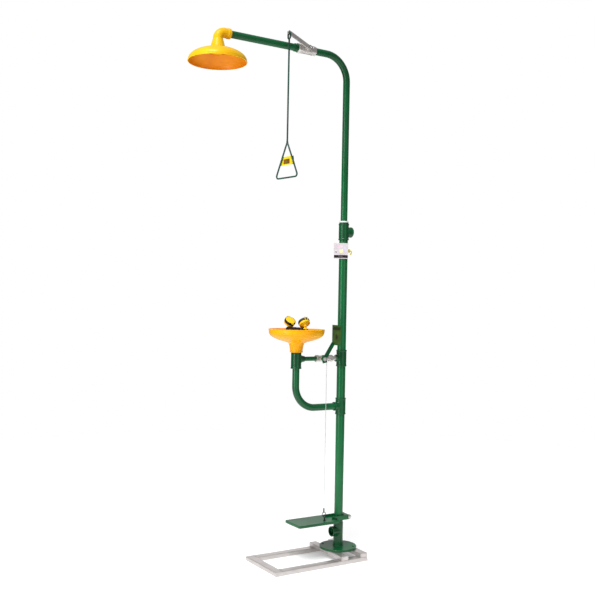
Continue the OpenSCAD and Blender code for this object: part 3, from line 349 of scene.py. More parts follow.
class Surface:
    """A Principled material under construction, with the few node patterns that all finishes share."""

    def __init__(self, name, metallic=0.0, coat=0.0, coat_roughness=0.1, ior=1.5, subsurface=0.0):
        self.material = bpy.data.materials.new(name)
        self.material.use_nodes = True
        self.tree = self.material.node_tree
        self.shader = self.tree.nodes["Principled BSDF"]
        self.shader.inputs["Metallic"].default_value = metallic
        self.shader.inputs["Coat Weight"].default_value = coat
        self.shader.inputs["Coat Roughness"].default_value = coat_roughness
        self.shader.inputs["IOR"].default_value = ior
        self.shader.inputs["Subsurface Weight"].default_value = subsurface
        self.shader.inputs["Subsurface Radius"].default_value = (0.004, 0.002, 0.001)
        self.height = None
        self.place = self.node("ShaderNodeTexCoord").outputs["Object"]

    def node(self, kind, **inputs):
        made = self.tree.nodes.new(kind)
        for name, value in inputs.items():
            made.inputs[name.replace("_", " ")].default_value = value
        return made

    def link(self, source, target):
        self.tree.links.new(source, target)

    def stretched(self, stretch):
        """Object coordinates scaled along each axis."""
        mapping = self.node("ShaderNodeMapping", Scale=stretch)
        self.link(self.place, mapping.inputs["Vector"])
        return mapping.outputs["Vector"]

    def noise(self, scale, detail=3.0, stretch=None, roughness=0.55):
        made = self.node("ShaderNodeTexNoise", Scale=scale, Detail=detail, Roughness=roughness)
        self.link(self.stretched(stretch) if stretch else self.place, made.inputs["Vector"])
        return made.outputs["Fac"]

    def ramp(self, factor, stops):
        """Colour ramp with (position, colour) stops."""
        made = self.tree.nodes.new("ShaderNodeValToRGB")
        ramp = made.color_ramp
        while len(ramp.elements) < len(stops):
            ramp.elements.new(0.5)
        for element, (position, colour) in zip(ramp.elements, stops):
            element.position = position
            element.color = colour
        self.link(factor, made.inputs["Fac"])
        return made.outputs["Color"]

    def span(self, factor, low, high):
        """A factor of 0..1 mapped to low..high."""
        made = self.node("ShaderNodeMapRange", To_Min=low, To_Max=high)
        self.link(factor, made.inputs["Value"])
        return made.outputs["Result"]

    def mix(self, factor, first, second):
        """Colour mix; first and second are sockets or colours."""
        made = self.tree.nodes.new("ShaderNodeMix")
        made.data_type = "RGBA"
        if isinstance(factor, float):
            made.inputs["Factor"].default_value = factor
        else:
            self.link(factor, made.inputs["Factor"])
        for index, value in ((6, first), (7, second)):
            if isinstance(value, tuple):
                made.inputs[index].default_value = value
            else:
                self.link(value, made.inputs[index])
        return made.outputs[2]

    def colour(self, source):
        self.link(source, self.shader.inputs["Base Color"])

    def roughness(self, source):
        self.link(source, self.shader.inputs["Roughness"])

    def bump(self, factor, depth, strength=0.6):
        """Adds relief of a real depth in metres on top of what is there."""
        made = self.node("ShaderNodeBump", Strength=strength, Distance=depth)
        self.link(factor, made.inputs["Height"])
        if self.height is not None:
            self.link(self.height, made.inputs["Normal"])
        self.height = made.outputs["Normal"]
        self.link(self.height, self.shader.inputs["Normal"])

    def worn_and_highlit_edges(self, colour, wear_and_highlight, amount=0.5):
        """Colour that turns lighter along sharp convex edges: partly edge wear, partly a painted highlight where the
        edges catch the light.
        """
        pointed = self.node("ShaderNodeNewGeometry").outputs["Pointiness"]
        mask = self.ramp(pointed, [(0.52, (0, 0, 0, 1)), (0.60, (amount, amount, amount, 1))])
        return self.mix(mask, colour, wear_and_highlight)


def green_coating(name, deep, bright, gloss=0.30):
    """Epoxy powder coat: a slight orange peel, cloudy gloss and a few dusty scuffs."""
    s = Surface(name, coat=0.15, coat_roughness=0.12)
    s.shader.inputs["Specular IOR Level"].default_value = 0.35
    cloud = s.noise(7.0, 4.0)
    body = s.ramp(cloud, [(0.35, deep), (0.65, bright)])
    scuff = s.ramp(s.noise(38.0, 6.0, roughness=0.7), [(0.66, (0, 0, 0, 1)), (0.80, (0.22, 0.22, 0.22, 1))])
    body = s.mix(scuff, body, scaled(bright, 1.8))
    # Lighter green along sharp edges: partly wear, partly painted highlight.
    s.colour(s.worn_and_highlit_edges(body, scaled(bright, 2.0), 0.4))
    s.roughness(s.span(s.noise(22.0, 4.0), gloss - 0.06, gloss + 0.10))
    s.bump(s.noise(420.0, 2.0), 0.00012, 0.35)
    s.bump(s.noise(60.0, 3.0), 0.0002, 0.25)
    return s.material


def moulded_plastic(name, deep, bright, gloss=0.32, grain=0.00008):
    """Injection-moulded ABS: even colour with faint flow clouds and a fine skin."""
    s = Surface(name, coat=0.05, coat_roughness=0.2, ior=1.45, subsurface=0.03)
    s.shader.inputs["Specular IOR Level"].default_value = 0.28
    flow = s.noise(9.0, 3.0)
    body = s.ramp(flow, [(0.35, deep), (0.65, bright)])
    # Lighter along sharp edges: partly wear, partly painted highlight.
    s.colour(s.worn_and_highlit_edges(body, scaled(bright, 1.12), 0.35))
    s.roughness(s.span(s.noise(30.0, 4.0), gloss - 0.07, gloss + 0.09))
    s.bump(s.noise(650.0, 2.0), grain, 0.4)
    return s.material


def brushed_metal(name, dark, light, gloss=0.28, stretch=(1, 1, 1), grain=300.0):
    """Drawn or machined metal: fine lines along the stretch, with cloudy tarnish."""
    s = Surface(name, metallic=1.0)
    lines = s.noise(grain, 5.0, stretch)
    tarnish = s.noise(16.0, 5.0)
    body = s.mix(s.span(tarnish, 0.0, 1.0), dark, light)
    body = s.mix(s.span(lines, 0.0, 0.35), body, scaled(light, 1.15))
    # Lighter along sharp edges: partly wear, partly painted highlight.
    s.colour(s.worn_and_highlit_edges(body, scaled(light, 1.2), 0.5))
    s.roughness(s.span(s.noise(45.0, 5.0), gloss - 0.08, gloss + 0.14))
    s.bump(lines, 0.00006, 0.4)
    return s.material


def cast_metal(name, dark, light, gloss=0.36):
    """Investment-cast stainless steel: a grainy skin whose edges are painted lighter, partly as wear and partly as a
    painted highlight.
    """
    s = Surface(name, metallic=1.0)
    body = s.mix(s.span(s.noise(90.0, 5.0), 0.0, 1.0), dark, light)
    # Lighter along sharp edges: partly wear, partly painted highlight.
    s.colour(s.worn_and_highlit_edges(body, scaled(light, 1.2), 0.6))
    s.roughness(s.span(s.noise(140.0, 4.0), gloss - 0.10, gloss + 0.12))
    s.bump(s.noise(520.0, 3.0), 0.00012, 0.5)
    return s.material


def matt(name, deep, bright, gloss=0.6, grain=400.0, depth=0.0001):
    """Rubber, PTFE or card: soft and slightly uneven."""
    s = Surface(name)
    s.colour(s.ramp(s.noise(28.0, 4.0), [(0.35, deep), (0.65, bright)]))
    s.roughness(s.span(s.noise(60.0, 3.0), gloss - 0.08, gloss + 0.12))
    s.bump(s.noise(grain, 3.0), depth, 0.4)
    return s.material


GREEN = green_coating("green_coating", srgb(0, 67, 32), srgb(2, 86, 44))
STAND = brushed_metal("stand_steel", srgb(168, 162, 160), srgb(212, 207, 205), 0.45)
STAINLESS = cast_metal("stainless_cast", srgb(180, 172, 168), srgb(240, 236, 232), 0.40)
ZINC = brushed_metal("zinc_hardware", srgb(150, 148, 146), srgb(214, 214, 214), 0.30)
PTFE = matt("white_ptfe", srgb(214, 232, 222), srgb(240, 248, 243), 0.5)
YELLOW = moulded_plastic("yellow_abs", srgb(255, 190, 6), srgb(255, 204, 20))
# The bell's inside is the same yellow ABS as its outside; this darker orange copy is painted shade for the hollow under
# the dome.
BELL_INSIDE_PAINTED_SHADE = moulded_plastic("yellow_abs_painted_shade", srgb(222, 126, 0), srgb(238, 146, 0), 0.42)
AMBER = moulded_plastic("amber_abs", srgb(255, 170, 0), srgb(255, 184, 0))
NOZZLE_YELLOW = moulded_plastic("nozzle_abs", srgb(250, 196, 12), srgb(255, 214, 40))
RUBBER = matt("black_rubber", srgb(14, 10, 12), srgb(30, 24, 26), 0.55)
BLACK = matt("black_plastic", srgb(24, 12, 20), srgb(44, 28, 36), 0.42)
WHITE = matt("white_plastic", srgb(220, 218, 210), srgb(238, 236, 230), 0.45)
DARK_STEEL = brushed_metal("blackened_steel", srgb(30, 34, 36), srgb(70, 74, 78), 0.34)
ROD = green_coating("dark_bar_coating", srgb(22, 58, 48), srgb(38, 82, 68), 0.34)
SIGN = matt("sign_yellow", srgb(226, 206, 20), srgb(240, 224, 40), 0.35, 900.0, 0.00004)
CARD = matt("card_white", srgb(206, 198, 202), srgb(222, 216, 220), 0.30, 900.0, 0.00004)

SIGN_BROWN = matt("sign_brown", srgb(120, 70, 10), srgb(150, 96, 20), 0.35, 900.0, 0.00003)
SIGN_OLIVE = matt("sign_olive", srgb(92, 96, 20), srgb(112, 116, 30), 0.35, 900.0, 0.00003)
SIGN_GREEN = matt("sign_green", srgb(24, 70, 16), srgb(40, 92, 24), 0.35, 900.0, 0.00003)
LABEL_OLIVE = matt("label_olive", srgb(40, 72, 26), srgb(58, 92, 36), 0.35, 900.0, 0.00003)
LABEL_DARK = matt("label_dark", srgb(12, 36, 16), srgb(22, 50, 24), 0.35, 900.0, 0.00003)
INK_BLACK = matt("ink_black", srgb(22, 14, 18), srgb(36, 28, 30), 0.35, 900.0, 0.00003)
INK_GREY = matt("ink_grey", srgb(96, 88, 96), srgb(128, 120, 126), 0.35, 900.0, 0.00003)
INK_PINK = matt("ink_pink", srgb(232, 200, 214), srgb(242, 216, 226), 0.35, 900.0, 0.00003)
INK_CREAM = matt("ink_cream", srgb(240, 234, 170), srgb(246, 240, 196), 0.35, 900.0, 0.00003)
INK_LILAC = matt("ink_lilac", srgb(206, 196, 226), srgb(220, 212, 236), 0.35, 900.0, 0.00003)

SLOT_LOOKS = {
    "green_coat": GREEN, "stand_tube": STAND, "stainless": STAINLESS, "zinc_hardware": ZINC,
    "white_ptfe": PTFE, "yellow_plastic": YELLOW, "amber_plastic": AMBER, "nozzle_plastic": NOZZLE_YELLOW,
    "black_rubber": RUBBER, "black_plastic": BLACK, "white_plastic": WHITE, "dark_coated_bar": ROD,
    "sign_sheet": SIGN, "tag_card": CARD,
}


NODE_LOOKS = {"pedal_eye": DARK_STEEL, "wire_link": DARK_STEEL}


def dress_cad_nodes():
    for name, node in nodes.items():
        look = NODE_LOOKS.get(name, SLOT_LOOKS[slot_of[name]])
        if node.material_slots:
            for material_slot in node.material_slots:
                material_slot.material = look
        else:
            node.data.materials.append(look)


# ---- Overhead shower ----

def make_bell():
    """Drench head: a deep moulded dome with a rolled rim, a step for the neck and a ring rib inside."""
    rim_r = extent("head_bell").x / 2
    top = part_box("head_elbow")[0].z - head.z
    neck_r = extent("head_elbow").y / 2
    wall = 3 * MM
    band_h = 5 * MM
    steps = 28

    def dome(radius, height, inner, base):
        sweep = math.acos(inner / radius)
        return [(radius * math.cos(sweep * i / steps), base + (height - base) * math.sin(sweep * i / steps))
                for i in range(steps + 1)]

    lip = rounded([(rim_r - wall, 0, 1.2 * MM), (rim_r, 0, 1.2 * MM), (rim_r, band_h, 1.5 * MM),
                   (rim_r - 1.5 * MM, band_h + 0.6 * MM, 0)], closed=False)
    outside = dome(rim_r - 1.5 * MM, top, neck_r, band_h + 0.8 * MM)
    bore_r = 12 * MM
    inside = dome(rim_r - wall, top - wall, 16 * MM, 0.5 * MM)
    core = dome(rim_r - wall * 0.6, top - wall * 0.5, 16 * MM, 0.6 * MM)
    shell = [(p.x, p.y) for p in lip] + outside[1:] + [(bore_r, top)] + core[::-1]
    lining = inside + [(bore_r, top - wall), (bore_r, top - wall * 0.5)] + core[::-1]
    rib = lathe(rounded([(60 * MM, top - 15 * MM, 0.5 * MM), (62 * MM, top - 15 * MM, 0.5 * MM),
                         (62 * MM, top - 6 * MM, 0), (60 * MM, top - 6 * MM, 0)]), 96)
    add_piece("drench_bell", placed(lathe(shell, 144), at(head)), "frame", "yellow_plastic",
              hides=["head_bell"], sharp=50)
    # The inner surface and rib take the darker orange copy of the yellow: painted shade under the dome.
    add_piece("drench_bell_inside_shaded", placed(merged(lathe(lining, 144), rib), at(head)), "frame", "yellow_plastic",
              sharp=50, look=BELL_INSIDE_PAINTED_SHADE)


def make_spray_posts():
    """Domed screw heads under the spray plate."""
    plate_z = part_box("spray_plate")[0].z
    reach = extent("spray_plate").x / 2 - 12 * MM
    screw = rounded([(0, 0, 0), (4 * MM, 0, 1.2 * MM), (4 * MM, 2.4 * MM, 1.6 * MM), (0, 2.4 * MM, 0)])
    heads = []
    for i in range(3):
        angle = 2 * math.pi * i / 3
        place = Vector((head.x + reach * math.cos(angle), reach * math.sin(angle), plate_z))
        heads.append(placed(lathe([(p.x, p.y) for p in screw], 24), at(place, -Z)))
    add_piece("spray_plate_screws", merged(*heads), "frame", "stainless")


def make_lever_nut(name, place, body, size, hides=()):
    """Nut with a spring washer and the stem's threaded end, facing -Y."""
    parts = [
        placed(washer(size * 0.55, size * 1.25, 1.0 * MM), at(place, -Y)),
        placed(hexagon(size * 2, size * 0.9, size * 0.5), at(place - Y * 1.0 * MM, -Y)),
        placed(thread(size * 0.56, size * 1.6, 1.0 * MM), at(place, -Y)),
    ]
    add_piece(name, merged(*parts), body, "zinc_hardware", hides=hides)


def make_triangle():
    """The bar of the triangle, rounded by subdivision, with the weld that closes it at the top."""
    bm = bmesh.new()
    bm.from_mesh(nodes["pull_triangle"].data)
    bmesh.ops.remove_doubles(bm, verts=bm.verts, dist=1e-6)
    bar = add_piece("pull_triangle_shape", bm, "pull_rod", "dark_coated_bar", hides=["pull_triangle"], sharp=80)
    modifier(bar, "SUBSURF", levels=2, render_levels=2)
    low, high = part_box("pull_triangle")
    apex = Vector((middle("pull_rod").x, middle("pull_triangle").y, high.z))
    bead = lathe(rounded([(0, -7 * MM, 0), (4.2 * MM, -5 * MM, 2 * MM), (5.4 * MM, 0, 3 * MM),
                          (4.6 * MM, 6 * MM, 2 * MM), (0, 8 * MM, 0)], closed=False), 32,
                 loop=False, ripple=lambda a, r, z: r * (1 + 0.05 * math.sin(5 * a + 900 * z)))
    add_piece("pull_triangle_weld", placed(bead, at(apex)), "pull_rod", "dark_coated_bar", sharp=80)


def plane_of(node, side):
    """Matrix with +Z out of the node's biggest face on that side, +Y up and its origin at the face's middle."""
    mesh = nodes[node].data
    groups = {}
    for face in mesh.polygons:
        if face.normal.dot(side) > 0.5:
            key = tuple(round(n, 2) for n in face.normal) + (round(face.center.dot(face.normal), 4),)
            area, total, normal = groups.get(key, (0.0, Vector(), Vector()))
            groups[key] = (area + face.area, total + face.center * face.area, normal + face.normal * face.area)
    area, total, normal = max(groups.values(), key=lambda item: item[0])
    out = normal.normalized()
    up = (Z - out * out.z).normalized()
    turn = Matrix((up.cross(out), up, out)).transposed().to_4x4()
    low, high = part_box(node)
    centre = total / area
    centre.z = (low.z + high.z) / 2
    return Matrix.Translation(centre) @ turn


def make_sign():
    """Sign on the handle: a yellow sheet with plain colour blocks and two clips round the bars."""
    softened("pull_sign", 0.35 * MM, 2)
    face = plane_of("pull_sign", -X)
    size = extent("pull_sign")
    height = size.z
    width = size.y
    ink = 0.25 * MM
    drop = [(9 * MM * math.sin(t) * math.sin(t / 2) ** 1.4, 9 * MM * math.cos(t))
            for t in (2 * math.pi * i / 32 for i in range(32))]
    block = plate([tuple(p) for p in rounded_box(width * 0.42, height * 0.56, 3 * MM)], ink)
    add_piece("sign_block", placed(block, face @ Matrix.Translation((-width * 0.07, -height * 0.08, 0))),
              "pull_rod", "sign_sheet", look=SIGN_BROWN)
    add_piece("sign_drop", placed(plate(drop, ink), face @ Matrix.Translation((-width * 0.05, -height * 0.08, ink))),
              "pull_rod", "sign_sheet", look=SIGN_OLIVE)
    slant = 0.16 * height
    edge = plate([(width * 0.36, -height * 0.46), (width * 0.47, -height * 0.46),
                  (width * 0.47 - slant, height * 0.46), (width * 0.36 - slant, height * 0.46)], ink)
    add_piece("sign_edge", placed(edge, face), "pull_rod", "sign_sheet", look=SIGN_GREEN)


def make_shower():
    make_bell()
    softened("spray_plate", 0.4 * MM, 2)
    make_spray_posts()
    cast("head_elbow", 1.1 * MM, 8)
    softened("arm_coupling", 1.0 * MM)
    for node in ("shower_valve_body", "shower_valve_cap", "shower_gland_nut"):
        softened(node, 0.9 * MM)
    softened("shower_lever", 0.9 * MM)
    low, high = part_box("shower_lever_nut")
    nut_place = Vector((shower_valve.x, high.y, shower_valve.z))
    make_lever_nut("shower_lever_nut_shape", nut_place, "shower_lever", 8 * MM, ["shower_lever_nut"])
    make_triangle()
    make_sign()


# ---- Eyewash bowl ----

def make_bowl():
    """Round dish with a rolled rim that flares out of its neck in one curve."""
    low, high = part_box("bowl")
    rim_r = (high.x - low.x) / 2
    rim_z = high.z
    foot_z = low.z
    foot_r = 29.5 * MM
    neck_r = 40 * MM
    dish_z = rim_z - 62 * MM
    floor_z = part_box("bowl_strainer")[1].z
    wall = 4 * MM
    swell = 3.3
    steps = 26

    def dish(rim, foot, base):
        return [(rim - (rim - foot) * (1 - i / steps) ** swell, base + (rim_z - base) * i / steps)
                for i in range(steps + 1)]

    def neck(i):
        s = i / 12
        return (foot_r + (neck_r - foot_r) * (0.25 * s + 0.75 * s ** 3), foot_z + (dish_z - foot_z) * s)

    collar = [(foot_r + 1.2 * MM, foot_z), (foot_r + 1.2 * MM, foot_z + 5 * MM), (foot_r + 0.2 * MM, foot_z + 6 * MM)]
    outside = collar + [neck(i) for i in range(3, 12)] + dish(rim_r - 1.5 * MM, neck_r + 2 * MM, dish_z)[1:-1]
    rim = [(rim_r - 1.2 * MM, rim_z - 4 * MM), (rim_r, rim_z - 2.6 * MM), (rim_r, rim_z - 1 * MM),
           (rim_r - 1.4 * MM, rim_z), (rim_r - wall + 0.6 * MM, rim_z), (rim_r - wall, rim_z - 1.2 * MM)]
    inside = dish(rim_r - wall, neck_r + 1 * MM, floor_z)[::-1][2:]
    seat_r = extent("bowl_strainer").x / 2 + 0.1 * MM
    seat_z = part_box("bowl_strainer")[0].z
    bore_r = foot_r - 8 * MM
    waste = [(seat_r, floor_z), (seat_r, seat_z), (bore_r, seat_z), (bore_r, foot_z)]
    bowl = lathe(outside + rim + inside + waste, 144)
    add_piece("eyewash_bowl", placed(bowl, at(bowl_axis)), "frame", "amber_plastic", hides=["bowl"], sharp=60)
    softened("bowl_strainer", 0.3 * MM, 2)


# ---- Eyewash nozzles ----

CUP_H = 22 * MM
RING_H = 3 * MM
COVER_H = 3.5 * MM
HINGE_OUT = 2.5 * MM
NOZZLE_TILT = math.radians(40)


def nozzle_frame(side, hinge):
    """Matrix of a nozzle's own frame: +Z is the way it sprays and +Y points at its hinge."""
    cup_r = extent("nozzle_cups").x / 2
    turn = Matrix.Rotation(NOZZLE_TILT, 4, "X")
    if side < 0:
        turn = Matrix.Rotation(math.pi, 4, "Z") @ turn
    offset = turn @ Vector((0, cup_r + HINGE_OUT, CUP_H + RING_H + COVER_H / 2))
    return Matrix.Translation(hinge - offset) @ turn


def make_nozzle(name, side):
    hinge = joint_place("cover_" + name + "_open")
    place = nozzle_frame(side, hinge)
    cup_r = extent("nozzle_cups").x / 2
    grip = lathe(rounded([(cup_r - 1 * MM, 5 * MM, 0), (cup_r + 0.9 * MM, 5.5 * MM, 0.8 * MM),
                          (cup_r + 0.9 * MM, 12 * MM, 0.8 * MM), (cup_r - 1 * MM, 12.5 * MM, 0)]), 144,
                 ripple=lambda a, r, z: r if r < cup_r else r - 0.7 * MM * abs(math.sin(12 * a)) ** 3)
    add_piece("cup_grip_" + name, placed(grip, place), "frame", "nozzle_plastic", sharp=50)
    top = CUP_H + RING_H
    ring = lathe(rounded([(cup_r - 5 * MM, CUP_H - 1 * MM, 0.5 * MM), (cup_r - 0.5 * MM, CUP_H - 7 * MM, 0.4 * MM),
                          (cup_r + 2.4 * MM, CUP_H - 7 * MM, 1.4 * MM), (cup_r + 2.4 * MM, top - 0.4 * MM, 1.4 * MM),
                          (cup_r - 1.5 * MM, top - 0.1 * MM, 0.8 * MM), (cup_r - 5 * MM, top - 0.1 * MM, 0.5 * MM)]),
                 96)
    add_piece("rubber_ring_" + name, placed(ring, place), "frame", "black_rubber", sharp=60)
    disc_r = cup_r - 0.5 * MM
    crown = 1.6 * MM
    dome = [(disc_r * 0.86 * i / 8, top + COVER_H + crown * (1 - (i / 8) ** 2)) for i in range(9)]
    edge = rounded([(disc_r * 0.88, top + COVER_H - 0.3 * MM, 0.2 * MM), (disc_r, top + COVER_H - 0.8 * MM, 0.9 * MM),
                    (disc_r, top, 0.5 * MM), (disc_r - 4 * MM, top, 0.5 * MM)], closed=False)
    shell = dome + [(p.x, p.y) for p in edge] + [(disc_r - 4 * MM, top + 1 * MM), (0, top + 1 * MM)]
    disc = lathe(shell, 96, loop=False)
    tab = placed(plate([tuple(p) for p in rounded_box(12 * MM, 9 * MM, 3 * MM)], 2.2 * MM),
                 Matrix.Translation((0, -disc_r - 1 * MM, top + 0.4 * MM)))
    arm = placed(plate([tuple(p) for p in rounded_box(8 * MM, 7 * MM, 1 * MM)], 2.6 * MM),
                 Matrix.Translation((0, cup_r - 0.6 * MM, top + 0.5 * MM)))
    knuckle = placed(lathe(rounded([(1.15 * MM, -4.1 * MM, 0.2 * MM), (2.4 * MM, -4.1 * MM, 0.5 * MM),
                                    (2.4 * MM, 4.1 * MM, 0.5 * MM), (1.15 * MM, 4.1 * MM, 0.2 * MM)]), 32),
                     Matrix.Translation((0, cup_r + HINGE_OUT, top + COVER_H / 2)) @ turned_to(X))
    body = "cover_" + name
    skirt = lathe(rounded([(disc_r - 1 * MM, top + 0.4 * MM, 0.2 * MM), (disc_r + 0.9 * MM, top + 0.4 * MM, 0.3 * MM),
                           (disc_r + 0.9 * MM, top + 2.9 * MM, 0.6 * MM), (disc_r - 1 * MM, top + 2.9 * MM, 0.2 * MM)]),
                  96)
    add_piece("cover_skirt_" + name, placed(skirt, place), body, "black_rubber", sharp=60)
    cover = add_piece("dust_cover_" + name + "_shape", placed(merged(disc, tab, arm, knuckle), place),
                      body, "nozzle_plastic", hides=["dust_cover_" + name], sharp=50)
    pin = placed(lathe(rounded([(0, -9.2 * MM, 0), (1.1 * MM, -9.2 * MM, 0.4 * MM), (1.1 * MM, 7.6 * MM, 0),
                                (1.9 * MM, 7.7 * MM, 0.2 * MM), (1.9 * MM, 9.2 * MM, 0.8 * MM), (0, 9.2 * MM, 0)],
                               closed=False), 24, loop=False),
                 Matrix.Translation((0, cup_r + HINGE_OUT, top + COVER_H / 2)) @ turned_to(X))
    add_piece("hinge_pin_" + name, placed(pin, place), body, "zinc_hardware")
    return cover


def make_manifold():
    """Rib along the top of the manifold."""
    softened("nozzle_manifold", 2.0 * MM, 4)
    size = extent("nozzle_manifold")
    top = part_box("nozzle_manifold")[1].z
    rib = plate([tuple(p) for p in rounded_box(size.x - 8 * MM, size.y - 30 * MM, 5 * MM)], 5 * MM)
    piece = add_piece("manifold_rib", placed(rib, Matrix.Translation((bowl_axis.x, 0, top - 0.2 * MM))), "frame",
                      slot_of["nozzle_manifold"])
    round_edges(piece, 1.2 * MM)


def make_eyewash():
    make_bowl()
    make_manifold()
    softened("nozzle_stems", 0.6 * MM)
    softened("nozzle_cups", 0.8 * MM)
    make_nozzle("near", -1)
    make_nozzle("far", 1)
    for node in ("eyewash_valve_body", "eyewash_valve_cap", "eyewash_gland_nut", "union_tail"):
        softened(node, 0.8 * MM)
    make_eyewash_lever()


# ---- Eyewash lever, wire and pedal ----

def soften_corners(bm, chosen, radius, segments=5):
    """Rounds only the edges for which chosen(start, end) holds."""
    edges = [edge for edge in bm.edges if chosen(edge.verts[0].co, edge.verts[1].co)]
    if edges:
        bmesh.ops.bevel(bm, geom=edges, offset=radius, segments=segments, profile=0.5, affect="EDGES",
                        clamp_overlap=True)


def along(a, b, axis):
    step = b - a
    return step.length > 1e-5 and abs(step.normalized().dot(axis)) > 0.999


def make_eyewash_lever():
    """Push flag with rounded corners, its printed field, and the hub's nut."""
    low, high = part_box("eyewash_lever")
    bm = cad_copy("eyewash_lever")
    flag_thick = 4 * MM
    soften_corners(bm, lambda a, b: along(a, b, X) and a.x > high.x - flag_thick - 1e-4
                   and b.x > high.x - flag_thick - 1e-4
                   and min(abs(a.z - high.z), abs(a.y - low.y)) < 1e-4, 7 * MM)
    lever = add_piece("eyewash_lever_shape", bm, "eyewash_lever", "green_coat", hides=["eyewash_lever"])
    round_edges(lever, 0.9 * MM, 3)
    flag_w = 76 * MM
    flag_h = 97 * MM
    face = plane_of("eyewash_lever", -X)
    face.translation.z = high.z - flag_h / 2
    ink = 0.3 * MM
    field = plate([tuple(p) for p in rounded_box(flag_w - 9 * MM, flag_h - 9 * MM, 4 * MM)], ink)
    add_piece("flag_field", placed(field, face), "eyewash_lever", "sign_sheet", look=LABEL_OLIVE)
    band = plate([tuple(p) for p in rounded_box(flag_w - 15 * MM, 13 * MM, 2 * MM)], ink)
    add_piece("flag_band", placed(band, face @ Matrix.Translation((0, flag_h * 0.33, ink))), "eyewash_lever",
              "sign_sheet", look=LABEL_DARK)
    drop = [(12 * MM * math.sin(t) * math.sin(t / 2) ** 1.4, 15 * MM * math.cos(t))
            for t in (2 * math.pi * i / 40 for i in range(40))]
    add_piece("flag_drop", placed(plate(drop, ink), face @ Matrix.Translation((0, -flag_h * 0.06, ink))),
              "eyewash_lever", "sign_sheet", look=LABEL_DARK)
    nut_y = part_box("eyewash_moving_valve")[0].y + 6 * MM
    make_lever_nut("eyewash_lever_nut_shape", Vector((eyewash_valve.x, nut_y, eyewash_valve.z)),
                   "eyewash_lever", 8.5 * MM)


def make_wire():
    """Stranded rope between two ferrules, with a thimble round the lever's pin."""
    low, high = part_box("pull_wire")
    x, y = middle("wire_link").x, (low.y + high.y) / 2
    top = joint_place("wire_hang")
    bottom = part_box("wire_link")[1].z
    rope_r = 1.25 * MM
    strand_r = rope_r * 0.34
    lay_r = rope_r - strand_r
    lay = 11 * MM
    start = bottom - 14 * MM
    length = top.z - 6 * MM - start
    turns = length / lay
    steps = int(turns * 10)
    paths = []
    for strand in range(6):
        path = []
        for i in range(steps + 1):
            angle = 2 * math.pi * (turns * i / steps + strand / 6)
            path.append(Vector((x + lay_r * math.cos(angle), y + lay_r * math.sin(angle), start + length * i / steps)))
        paths.append(path)
    paths.append([Vector((x, y, start)), Vector((x, y, start + length))])
    wire("pull_wire_rope", paths, strand_r, "pull_wire", "zinc_hardware", hides=["pull_wire"], sides=6)
    eye_r = 3 * MM + 0.3 * MM + rope_r
    wire("pull_wire_eye", [circle_path(Vector((x, y, top.z)), Y, eye_r)], rope_r, "pull_wire", "zinc_hardware",
         cyclic=True)
    ferrule = rounded([(0, 0, 0), (2.7 * MM, 0, 0.8 * MM), (2.7 * MM, 16 * MM, 0.8 * MM), (0, 16 * MM, 0)],
                      closed=False)
    pressed = lathe([(p.x, p.y) for p in ferrule], 48, loop=False,
                    ripple=lambda a, r, z: r * (1 - 0.10 * abs(math.sin(a)) ** 2))
    add_piece("pull_wire_ferrule", placed(pressed, at(Vector((x, y, top.z - 30 * MM)))), "pull_wire",
              "zinc_hardware")


